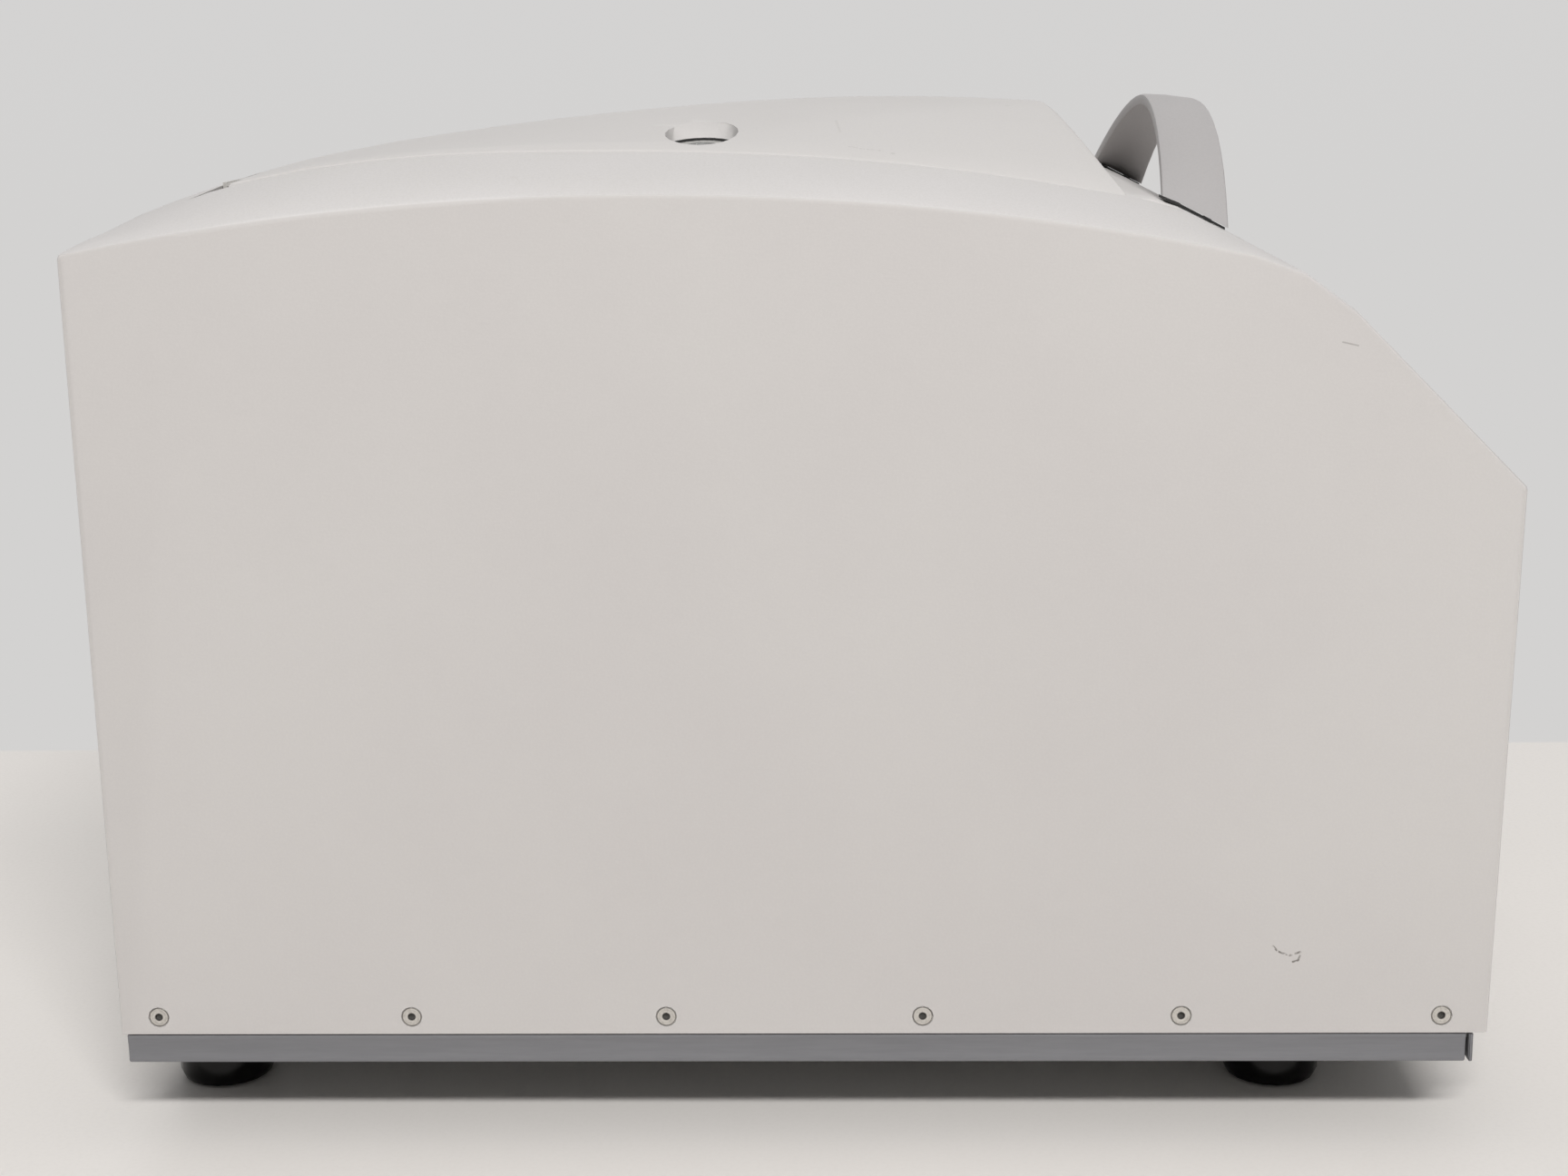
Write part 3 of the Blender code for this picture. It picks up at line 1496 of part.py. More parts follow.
def make_fascia():
    frame = fascia_frame()
    face = -fascia_recess
    back = -hood_wall - clearance - fascia_flange_thickness
    wide = fascia_width - clearance * 2
    tall = fascia_height - clearance * 2
    root = back + fascia_flange_thickness / 2
    plate = slab("control_fascia", rounded_box_outline(wide, tall, fascia_round), face - root, "dark_plastic",
                 frame @ Matrix.Translation((0, 0, (face + root) / 2)))
    flange = slab("fascia_flange", rounded_box_outline(wide + fascia_flange * 2, tall + fascia_flange * 2,
                                                      fascia_round), fascia_flange_thickness,
                  matrix=frame @ Matrix.Translation((0, 0, back + fascia_flange_thickness / 2)))
    cut(plate, flange, "UNION")
    pocket = glass_thickness + glass_pocket_gap
    pocket_x = glass_width / 2 + clearance
    pocket_y = glass_height / 2 + clearance
    tools = [box("glass_pocket", (glass_x - pocket_x, -pocket_y, face - pocket),
                 (glass_x + pocket_x, pocket_y, overrun), matrix=frame)]
    for name, x, y in key_layout():
        tools.append(box(name + "_hole", (x - key_width / 2 - key_gap, y - key_height / 2 - key_gap,
                                          back - overrun),
                         (x + key_width / 2 + key_gap, y + key_height / 2 + key_gap, overrun), matrix=frame))
    cut(plate, joined("fascia_holes", tools))
    box("display_glass", (glass_x - glass_width / 2, -glass_height / 2, face - pocket + glass_pocket_gap),
        (glass_x + glass_width / 2, glass_height / 2, face), "glass", frame)
    make_keys(frame, face, back)
    make_board(frame, back)


def make_keys(frame, face, back):
    flange_top = back - clearance
    for name, x, y in key_layout():
        top = face + key_proud
        low = flange_top - key_flange_thickness
        cap = box(name, (x - key_width / 2, y - key_height / 2, low),
                  (x + key_width / 2, y + key_height / 2, top), "key_plastic", frame)
        rim = box(name + "_rim", (x - key_width / 2 - key_flange, y - key_height / 2 - key_flange, low),
                  (x + key_width / 2 + key_flange, y + key_height / 2 + key_flange, flange_top), matrix=frame)
        cut(cap, rim, "UNION")
        centre = frame @ Vector((x, y, top))
        hold(axis_empty(name + "_axis", centre), cap)


def make_board(frame, back):
    key_low = back - clearance - key_flange_thickness
    top = key_low - key_travel - board_gap
    board = box("control_board", (-board_width / 2, -board_height / 2, top - board_thickness),
                (board_width / 2, board_height / 2, top), "board_green", frame)
    for side_x in (-1, 1):
        for side_y in (-1, 1):
            x = side_x * (board_width / 2 - spacer_inset)
            y = side_y * (board_height / 2 - spacer_inset)
            spacer = rod("spacer", spacer_radius, (x, y, top - board_thickness / 2),
                         (x, y, back - clearance), facets_small, matrix=frame)
            cut(board, spacer, "UNION")


# Rear panel

def make_rear_panel():
    outer = rear_y - hood_wall - clearance
    inner = outer - panel_thickness
    panel = box("rear_panel", (-panel_half_width, inner, panel_low_z),
                (panel_half_width, outer, panel_high_z), "zinc")
    tools = []

    def opening(name, x, z, width, height):
        tools.append(box(name, (x - width / 2, inner - overrun, z - height / 2),
                         (x + width / 2, outer + overrun, z + height / 2)))

    for i in range(vent_count):
        opening("vent", vent_x, vent_first_z + vent_pitch * i, vent_width, vent_height)
    for i in range(fan_slot_count):
        offset = fan_slot_pitch * (i - (fan_slot_count - 1) / 2)
        half = math.sqrt(fan_bore_radius ** 2 - offset ** 2)
        opening("fan_slot", fan_x, fan_z + offset, half * 2, fan_slot_height)
    opening("inlet_hole", inlet_x, inlet_z, inlet_body_width + clearance * 2,
            inlet_body_height + clearance * 2)
    opening("switch_hole", switch_x, inlet_z, switch_body_width + clearance * 2,
            switch_body_height + clearance * 2)
    for x, y, z in panel_screw_places():
        tools.append(rod("panel_screw_hole", screw_shank_radius + clearance, (x, inner - overrun, z),
                         (x, outer + overrun, z), facets_small))
    cut(panel, joined("panel_openings", tools))
    make_fan(inner)
    make_inlet(outer)
    make_switch(outer)


def make_fan(panel_inner):
    rear = panel_inner - clearance
    front = rear - fan_depth
    half = fan_size / 2
    frame = box("fan_frame", (fan_x - half, front, fan_z - half), (fan_x + half, rear, fan_z + half),
                "dark_plastic")
    cut(frame, rod("fan_bore", fan_bore_radius, (fan_x, front - overrun, fan_z),
                   (fan_x, rear + overrun, fan_z), facets_mid))
    boss = rod("fan_boss", fan_hub_radius, (fan_x, front, fan_z),
               (fan_x, front + fan_boss_thickness, fan_z), facets_mid)
    reach = fan_bore_radius + fan_strut_bite
    thin = fan_strut_width / 2
    back = front + fan_boss_thickness
    strut_a = box("fan_strut_a", (fan_x - reach, front, fan_z - thin), (fan_x + reach, back, fan_z + thin))
    strut_b = box("fan_strut_b", (fan_x - thin, front, fan_z - reach), (fan_x + thin, back, fan_z + reach))
    for tool in (boss, strut_a, strut_b):
        cut(frame, tool, "UNION")
    low = front + fan_boss_thickness + clearance * 2
    high = rear - fan_rear_gap
    hub = rod("fan_impeller", fan_hub_radius, (fan_x, low, fan_z), (fan_x, high, fan_z), facets_mid,
              "dark_plastic")
    tip = fan_bore_radius - fan_tip_gap
    chord = (high - low) * fan_chord_share
    root = fan_hub_radius * fan_root_share
    for i in range(fan_blade_count):
        spin = Matrix.Rotation(math.tau * i / fan_blade_count, 4, "Y")
        matrix = (Matrix.Translation((fan_x, (low + high) / 2, fan_z)) @ spin
                  @ Matrix.Rotation(fan_blade_pitch, 4, "Z"))
        blade = box("fan_blade_" + str(i), (-fan_blade_thickness / 2, -chord / 2, root),
                    (fan_blade_thickness / 2, chord / 2, tip), matrix=matrix)
        cut(hub, blade, "UNION")
    hold(axis_empty("fan_axis", (fan_x, low, fan_z)), hub)


def make_inlet(panel_outer):
    seat = panel_outer + clearance
    face = seat + inlet_flange_thickness
    flange = box("mains_inlet", (inlet_x - inlet_flange_width / 2, seat, inlet_z - inlet_flange_height / 2),
                 (inlet_x + inlet_flange_width / 2, face, inlet_z + inlet_flange_height / 2), "dark_plastic")
    body = box("inlet_body", (inlet_x - inlet_body_width / 2, face - inlet_depth,
                              inlet_z - inlet_body_height / 2),
               (inlet_x + inlet_body_width / 2, seat + inlet_flange_thickness / 2,
                inlet_z + inlet_body_height / 2))
    cut(flange, body, "UNION")
    pocket = box("inlet_pocket", (inlet_x - inlet_pocket_width / 2, face - inlet_pocket_depth,
                                  inlet_z - inlet_pocket_height / 2),
                 (inlet_x + inlet_pocket_width / 2, face + overrun, inlet_z + inlet_pocket_height / 2))
    for i in (-1, 0, 1):
        z = inlet_z - inlet_pin_drop * (1 - 2 * abs(i))
        pin = box("inlet_pin_" + str(i + 1), (inlet_x + i * inlet_pin_pitch - inlet_pin_width / 2,
                                              face - inlet_pocket_depth - overrun, z - inlet_pin_height / 2),
                  (inlet_x + i * inlet_pin_pitch + inlet_pin_width / 2, face - inlet_flange_thickness,
                   z + inlet_pin_height / 2))
        cut(pocket, pin)
    cut(flange, pocket)


def make_switch(panel_outer):
    seat = panel_outer + clearance
    face = seat + switch_flange_thickness
    flange = box("switch_frame",
                 (switch_x - switch_flange_width / 2, seat, inlet_z - switch_flange_height / 2),
                 (switch_x + switch_flange_width / 2, face, inlet_z + switch_flange_height / 2),
                 "dark_plastic")
    body = box("switch_body", (switch_x - switch_body_width / 2, face - switch_depth,
                               inlet_z - switch_body_height / 2),
               (switch_x + switch_body_width / 2, seat + switch_flange_thickness / 2,
                inlet_z + switch_body_height / 2))
    cut(flange, body, "UNION")
    pocket = box("switch_pocket", (switch_x - switch_pocket_width / 2, face - switch_pocket_depth,
                                   inlet_z - switch_pocket_height / 2),
                 (switch_x + switch_pocket_width / 2, face + overrun, inlet_z + switch_pocket_height / 2))
    cut(flange, pocket)
    axis_y = face - rocker_axis_depth
    work_half = rocker_width / 2
    rise = rocker_axis_depth + rocker_proud
    outline = [(-rocker_height / 2, rise), (0, rise - rocker_height / 2 * math.sin(rocker_tilt)),
               (rocker_height / 2, rise), (rocker_height / 2 * rocker_root_share, rise - rocker_depth),
               (-rocker_height / 2 * rocker_root_share, rise - rocker_depth)]
    tilt = Matrix.Rotation(rocker_tilt, 4, "X")
    sections = []
    for x in (-work_half, work_half):
        points = []
        for z, y in outline:
            turned_point = tilt @ Vector((0, y, z))
            points.append((switch_x + x, axis_y + turned_point.y, inlet_z + turned_point.z))
        sections.append(points)
    rocker = loft("switch_rocker", sections, "gloss_black")
    hold(axis_empty("rocker_axis", (switch_x, axis_y, inlet_z)), rocker)


def make_lid_group():
    hinge_axis = axis_empty("lid_axis", (0, hinge_y, hinge_z))
    make_lid()
    make_handle()
    make_hinge()
    make_striker()
    names = ("lid_shell", "lid_liner", "port_glass", "port_gasket", "lid_handle", "handle_gasket_left",
             "handle_gasket_right", "hinge_leaf_lid", "lid_striker")
    hold(hinge_axis, *[bpy.data.objects[name] for name in names])


clear_scene()
make_hood()
make_base()
make_lid_group()
make_lock()
make_chamber()
make_rotor()
make_drive()
make_electrics()
make_fascia()
make_rear_panel()
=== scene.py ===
import math

import bmesh
import bpy
from mathutils import Euler, Matrix, Vector


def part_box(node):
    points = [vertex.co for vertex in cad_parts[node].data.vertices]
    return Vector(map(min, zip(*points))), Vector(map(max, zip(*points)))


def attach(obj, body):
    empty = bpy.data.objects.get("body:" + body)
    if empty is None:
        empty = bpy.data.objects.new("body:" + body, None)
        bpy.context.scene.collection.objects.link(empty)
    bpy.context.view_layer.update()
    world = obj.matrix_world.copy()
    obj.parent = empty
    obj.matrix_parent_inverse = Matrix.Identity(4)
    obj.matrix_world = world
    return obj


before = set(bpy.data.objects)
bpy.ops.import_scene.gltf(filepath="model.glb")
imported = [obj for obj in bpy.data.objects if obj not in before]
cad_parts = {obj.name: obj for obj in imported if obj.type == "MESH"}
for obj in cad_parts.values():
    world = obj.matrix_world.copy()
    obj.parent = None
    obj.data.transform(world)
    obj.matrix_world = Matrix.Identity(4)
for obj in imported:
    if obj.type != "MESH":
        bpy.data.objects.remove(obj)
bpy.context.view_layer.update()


def linear(red, green, blue):  # a colour as a picture editor shows it, 0 to 255
    parts = []
    for part in (red, green, blue):
        share = part / 255
        parts.append(share / 12.92 if share <= 0.04045 else ((share + 0.055) / 1.055) ** 2.4)
    return (*parts, 1.0)


class Value:
    # a socket that takes part in sums: each operator adds one Math node
    def __init__(self, paint, socket):
        self.paint = paint
        self.socket = socket

    def math(self, operation, *others, clamp=False):
        inputs = {0: self}
        for index, other in enumerate(others):
            inputs[index + 1] = other
        return self.paint.node("ShaderNodeMath", {"operation": operation, "use_clamp": clamp}, inputs)

    def swapped(self, operation, other):
        return self.paint.node("ShaderNodeMath", {"operation": operation}, {0: other, 1: self})

    def __add__(self, other):
        return self.math("ADD", other)

    __radd__ = __add__

    def __sub__(self, other):
        return self.math("SUBTRACT", other)

    def __rsub__(self, other):
        return self.swapped("SUBTRACT", other)

    def __mul__(self, other):
        return self.math("MULTIPLY", other)

    __rmul__ = __mul__

    def __truediv__(self, other):
        return self.math("DIVIDE", other)

    def __rtruediv__(self, other):
        return self.swapped("DIVIDE", other)

    def least(self, other):
        return self.math("MINIMUM", other)

    def most(self, other):
        return self.math("MAXIMUM", other)

    def band(self, start, end):  # 0 up to start, 1 from end, and smooth between
        return self.paint.node("ShaderNodeMapRange", {"interpolation_type": "SMOOTHSTEP"},
                               {"Value": self, "From Min": start, "From Max": end})

    def part(self, axis):
        return self.paint.node("ShaderNodeSeparateXYZ", inputs={0: self}, output=axis)


class Paint:
    # one node tree, written as calls
    def __init__(self, tree):
        self.tree = tree
        tree.nodes.clear()

    def node(self, kind, settings=None, inputs=None, output=0):
        made = self.tree.nodes.new(kind)
        for key, value in (settings or {}).items():
            if key == "stops":
                self.setStops(made.color_ramp, value)
            else:
                setattr(made, key, value)
        for key, value in (inputs or {}).items():
            if isinstance(value, Value):
                self.tree.links.new(value.socket, made.inputs[key])
            else:
                made.inputs[key].default_value = value
        return Value(self, made.outputs[output]) if len(made.outputs) else None

    def setStops(self, ramp, stops):
        while len(ramp.elements) < len(stops):
            ramp.elements.new(1.0)
        for element, (place, colour) in zip(ramp.elements, stops):
            element.position = place
            element.color = colour

    def place(self):
        return self.node("ShaderNodeTexCoord", output="Object")

    def vector(self, operation, first, second=None, scale=None, output=0):
        inputs = {0: first}
        if second is not None:
            inputs[1] = second
        if scale is not None:
            inputs["Scale"] = scale
        return self.node("ShaderNodeVectorMath", {"operation": operation}, inputs, output)

    def noise(self, where, scale, detail=2.0, roughness=0.5, stretch=None, seed=0.0):
        if stretch:
            where = self.vector("MULTIPLY", where, stretch)
        if seed:
            where = self.vector("ADD", where, (seed, seed * 0.7, seed * 1.3))
        return self.node("ShaderNodeTexNoise", {"noise_dimensions": "3D"},
                         {"Vector": where, "Scale": scale, "Detail": detail, "Roughness": roughness})

    def cells(self, where, scale):
        return self.node("ShaderNodeTexVoronoi", inputs={"Vector": where, "Scale": scale}, output="Distance")

    def joined(self, x, y=0.0, z=0.0):
        return self.node("ShaderNodeCombineXYZ", inputs={"X": x, "Y": y, "Z": z})

    def reach(self, x, y):  # the length of a flat step
        return self.vector("LENGTH", self.joined(x, y), output="Value")

    def seen(self):  # 1 for what the camera, a gloss or a glass shows
        rays = [self.node("ShaderNodeLightPath", output="Is " + kind + " Ray")
                for kind in ("Camera", "Glossy", "Transmission")]
        return rays[0].most(rays[1]).most(rays[2])

    def mix(self, factor, first, second, blend="MIX"):
        return self.node("ShaderNodeMix", {"data_type": "RGBA", "blend_type": blend},
                         {"Factor": factor, "A": first, "B": second}, output="Result")

    def bump(self, height, strength, distance, below=None):
        inputs = {"Height": height, "Strength": strength, "Distance": distance}
        if below is not None:
            inputs["Normal"] = below
        return self.node("ShaderNodeBump", inputs=inputs)

    def scratches(self, where, scale, width, seed):  # thin random lines, 1 on a line
        warped = self.noise(where, scale * 0.35, 1.0, seed=seed)
        streak = self.noise(where, scale, 0.0, stretch=(1.0, 1.0, 7.0), seed=seed + 3.1)
        line = (streak - 0.5).math("ABSOLUTE")
        return (1 - line.band(0.0, width)) * warped.band(0.56, 0.66)

    def strokes(self, where, path, width):  # 1 on the lines that join the points of the path
        nearest = None
        for start, end in zip(path, path[1:]):
            span = Vector(end) - Vector(start)
            away = self.vector("SUBTRACT", where, start)
            along = self.vector("DOT_PRODUCT", away, tuple(span), output="Value")
            share = along.math("DIVIDE", span.length_squared, clamp=True)
            reach = self.vector("SCALE", tuple(span), scale=share)
            gap = self.vector("DISTANCE", away, reach, output="Value")
            nearest = gap if nearest is None else nearest.least(gap)
        return 1 - nearest.band(width * 0.4, width)

    def finish(self, surface):
        self.node("ShaderNodeOutputMaterial", inputs={"Surface": surface})


def newMaterial(name):
    material = bpy.data.materials.new(name)
    material.use_nodes = True
    return material, Paint(material.node_tree)


# Finishes

def moulded(name, look, marks=None):
    material, paint = newMaterial(name)
    where = paint.place()
    tone = linear(*look["tone"])
    if "shadedSideTone" in look:  # painted shade: the flat sides take a darker tone than the crowned top, standing for the shade on them
        side = where.part("X").math("ABSOLUTE").band(*look["shadedSideFrom"])
        tone = paint.mix(side, tone, linear(*look["shadedSideTone"]))
    drift = paint.noise(where, 5.0, 3.0).band(0.3, 0.7) * look["drift"]
    fleck = paint.noise(where, 900.0, 2.0, seed=2.0).band(0.35, 0.75) * look["fleck"]
    worn = paint.scratches(where, 38.0, 0.006, 1.7) * look["wear"]
    colour = paint.mix(drift + fleck, tone, linear(*look["shade"]))
    colour = paint.mix(worn, colour, linear(*look["scuff"]))
    rough = paint.noise(where, 14.0, 2.0, seed=5.0) * 0.10 + (look["rough"] - 0.05) + fleck * 0.2
    grain = paint.noise(where, look["grainScale"], 3.0, 0.6, stretch=look.get("lay"))
    height = grain - worn * 0.6
    if marks:
        mask = marks(paint, where)
        colour = paint.mix(mask, colour, linear(*look["mark"]))
        height = height - mask * 0.5
    normal = paint.bump(height, look["grain"], look["grainDepth"])
    shader = paint.node("ShaderNodeBsdfPrincipled", inputs={
        "Base Color": colour, "Roughness": rough, "Normal": normal,
        "Specular IOR Level": look["gloss"], "Coat Weight": look.get("coat", 0.0), "Coat Roughness": 0.12})
    paint.finish(shader)
    return material


def metal(name, look, marks=None):
    material, paint = newMaterial(name)
    where = paint.place()
    tone = linear(*look["tone"])
    brush = paint.noise(where, look["brushScale"], 3.0, 0.65, stretch=look["brush"])
    cloud = paint.noise(where, 9.0, 3.0, seed=4.0)
    worn = paint.scratches(where, 60.0, 0.005, 6.3) * look["wear"]
    colour = paint.mix(brush.band(0.3, 0.7) * look["streak"] + cloud.band(0.35, 0.75) * look["drift"],
                       tone, linear(*look["shade"]))
    colour = paint.mix(worn, colour, linear(*look["scuff"]))
    if marks:
        colour = paint.mix(marks(paint, where), colour, linear(*look["mark"]))
    rough = look["rough"] + (brush - 0.5) * look["streakRough"] + worn * 0.15
    normal = paint.bump(brush + worn * 0.4, look["grain"], look["grainDepth"])
    shader = paint.node("ShaderNodeBsdfPrincipled", inputs={
        "Base Color": colour, "Roughness": rough, "Normal": normal, "Metallic": look["metal"],
        "Specular IOR Level": 0.5})
    paint.finish(shader)
    return material


def turnedMetal(name, look, centre):  # tool marks run in rings about an upright axis
    material, paint = newMaterial(name)
    where = paint.place()
    tone = linear(*look["tone"])
    flat = paint.vector("MULTIPLY", paint.vector("SUBTRACT", where, centre), (1, 1, 0))
    radius = paint.vector("LENGTH", flat, output="Value")
    height = where.part("Z")
    rings = paint.noise(paint.joined(radius, z=height), look["ringScale"], 3.0, 0.6)
    cloud = paint.noise(where, 11.0, 3.0)
    worn = paint.scratches(where, 55.0, 0.006, 2.9) * look["wear"]
    colour = paint.mix(rings.band(0.3, 0.7) * look["streak"] + cloud.band(0.35, 0.75) * look["drift"],
                       tone, linear(*look["shade"]))
    colour = paint.mix(worn, colour, linear(*look["scuff"]))
    rough = look["rough"] + (rings - 0.5) * 0.16 + worn * 0.15
    normal = paint.bump(rings + worn * 0.4, look["grain"], look["grainDepth"])
    shader = paint.node("ShaderNodeBsdfPrincipled", inputs={
        "Base Color": colour, "Roughness": rough, "Normal": normal, "Metallic": look["metal"]})
    paint.finish(shader)
    return material


def screwFace(name, look, reachOf):  # reachOf gives the distance from the screw's own middle
    material, paint = newMaterial(name)
    where = paint.place()
    reach = reachOf(paint, where)
    rings = paint.noise(paint.joined(reach), look["ringScale"], 2.0)
    stain = paint.noise(where, look["stainScale"], 3.0, seed=3.0).band(0.42, 0.66)
    colour = paint.mix(rings.band(0.35, 0.65) * look["streak"] + stain * look["drift"],
                       linear(*look["tone"]), linear(*look["shade"]))
    # painted shadow: a dark ring at the head's edge stands for the shade in the countersink gap
    edge = reach.band(look["edge"] - 0.00025, look["edge"])
    countersinkShadow = edge * (1 - reach.band(look["edge"] + 0.0002, look["edge"] + 0.0004))
    socket = 1 - reach.band(look["socket"] - 0.0001, look["socket"] + 0.0001)
    colour = paint.mix(countersinkShadow * 0.75, colour, linear(*look["line"]))
    # painted highlight: a pale ring outside the head's edge
    rim = reach.band(look["edge"] + 0.0003, look["edge"] + 0.0005)
    colour = paint.mix(rim, colour, linear(*look["rim"]))
    # painted shade: the socket recess is coloured near black
    colour = paint.mix(socket * 0.85, colour, linear(*look["hole"]))
    normal = paint.bump(rings + stain * 0.5 - countersinkShadow, look["grain"], look["grainDepth"])
    paint.finish(paint.node("ShaderNodeBsdfPrincipled", inputs={
        "Base Color": colour, "Roughness": look["rough"] + (rings - 0.5) * 0.2 + socket * 0.2,
        "Metallic": 0.75 - socket * 0.5, "Normal": normal}))
    return material


def flankReach(paint, where):  # the flank screws repeat along the rail
    turns = ((where.part("Y") - flankScrews["first"]) / flankScrews["pitch"] + 0.5).math("FRACT") - 0.5
    return paint.reach(turns * flankScrews["pitch"], where.part("Z") - flankScrews["height"])


def panelReach(paint, where):  # two screws a side, one above the other
    across = where.part("X").math("ABSOLUTE") - panelScrews["x"]
    middle = (panelScrews["low"] + panelScrews["high"]) / 2
    up = (where.part("Z") - middle).math("ABSOLUTE") - (panelScrews["high"] - middle)
    return paint.reach(across, up)


def sightGlass(name, look):  # clear in the middle, with a pale ring round it that is a painted reflection of the bright ceiling
    material, paint = newMaterial(name)
    where = paint.place()
    flat = paint.vector("MULTIPLY", paint.vector("SUBTRACT", where, (*look["centre"], 0.0)), (1, 1, 0))
    reach = paint.vector("LENGTH", flat, output="Value")
    reflectionRing = reach.band(look["clearRadius"] - 0.0002, look["clearRadius"] + 0.0002)
    smudge = paint.noise(where, 60.0, 4.0, 0.6).band(0.45, 0.75)
    clear = paint.node("ShaderNodeBsdfPrincipled", inputs={
        "Base Color": paint.mix(smudge * 0.15, linear(*look["tone"]), linear(*look["dust"])),
        "Roughness": look["rough"] + smudge * 0.06, "Transmission Weight": 0.85, "IOR": 1.49})
    speck = paint.noise(where, 900.0, 2.0).band(0.5, 0.8) * 0.3
    # painted reflection: the pale ring stands for the ceiling's light mirrored in the glass
    paintedReflection = paint.node("ShaderNodeBsdfPrincipled", inputs={
        "Base Color": paint.mix(speck, linear(*look["reflectionRing"]), linear(*look["reflectionRingShade"])),
        "Roughness": 0.3 + smudge * 0.1, "Coat Weight": 0.3, "Coat Roughness": 0.05})
    paint.finish(paint.node("ShaderNodeMixShader", inputs={"Fac": reflectionRing, 1: clear, 2: paintedReflection}))
    return material


def glassy(name, look):
    material, paint = newMaterial(name)
    where = paint.place()
    smudge = paint.noise(where, 45.0, 4.0, 0.6).band(0.45, 0.75)
    dust = paint.noise(where, 1400.0, 1.0, seed=8.0).band(0.68, 0.78)
    colour = paint.mix(smudge * 0.12 + dust * 0.25, linear(*look["tone"]), linear(*look["dust"]))
    shader = paint.node("ShaderNodeBsdfPrincipled", inputs={
        "Base Color": colour, "Roughness": look["rough"] + smudge * 0.08 + dust * 0.2,
        "Transmission Weight": look["clear"], "IOR": 1.49, "Coat Weight": 0.6, "Coat Roughness": 0.03})
    paint.finish(shader)
    return material


def spotsAt(paint, where, places, soft):  # 1 on each round spot
    spots = None
    for place in places:
        near = 1 - paint.vector("DISTANCE", where, place, output="Value").band(*soft)
        spots = near if spots is None else spots.most(near)
    return spots


flankWear = {"scuff": [(-0.2194, 0.0946), (-0.2216, 0.0921), (-0.2240, 0.0911), (-0.2274, 0.0901),
                       (-0.2322, 0.0918), (-0.2322, 0.0901), (-0.2312, 0.0876), (-0.2288, 0.0869)],
             "scuffWidth": 0.0007, "scuffShow": 0.8, "breakScale": 500.0,
             "scratch": [(-0.2410, 0.3759), (-0.2478, 0.3743)], "scratchWidth": 0.0005, "scratchShow": 0.35,
             "flankEnd": (-0.2495, -0.2480)}


def flankMarks(paint, where):  # a small curled scuff low on the flank and a faint scratch at the front
    look = flankWear
    onFlank = 1 - where.part("X").band(*look["flankEnd"])
    side = paint.vector("MULTIPLY", where, (0, 1, 1))
    breaks = paint.noise(where, look["breakScale"], 1.0).band(0.35, 0.6)
    dark = paint.strokes(side, [(0, *point) for point in look["scuff"]], look["scuffWidth"]) * breaks
    faint = paint.strokes(side, [(0, *point) for point in look["scratch"]], look["scratchWidth"])
    return (dark * look["scuffShow"] + faint * look["scratchShow"]) * onFlank


lidWear = {"tick": [(-0.1142, -0.0186, 0.4703), (-0.1424, -0.0210, 0.4656)], "tickWidth": 0.0009,
           "line": [(-0.1694, -0.0258, 0.4599), (-0.1714, -0.0313, 0.4591), (-0.1723, -0.0406, 0.4581)],
           "lineWidth": 0.0014, "breakScale": 700.0,
           "spots": [(-0.1752, -0.0456, 0.4570), (-0.0495, -0.1060, 0.4742)], "spotSoft": (0.0008, 0.0018),
           "tickShow": 0.14, "lineShow": 0.3, "spotShow": 0.25}


def lidMarks(paint, where):  # a faint tick, a speckled line and two spots on the lid's near shoulder
    look = lidWear
    tick = paint.strokes(where, look["tick"], look["tickWidth"])
    line = paint.strokes(where, look["line"], look["lineWidth"])
    broken = paint.noise(where, look["breakScale"], 1.0, seed=7.0).band(0.45, 0.6)
    spots = spotsAt(paint, where, look["spots"], look["spotSoft"])
    return (tick * look["tickShow"]).most(line * broken * look["lineShow"]).most(spots * look["spotShow"])


railWear = {"nicks": [(-0.2502, -0.175, 0.0505), (-0.2502, 0.136, 0.0382), (-0.2502, 0.263, 0.0455)],
            "nickSoft": (0.0006, 0.0013), "nickShow": 0.7}


def railMarks(paint, where):  # small nicks in the rail's coat
    return spotsAt(paint, where, railWear["nicks"], railWear["nickSoft"]) * railWear["nickShow"]


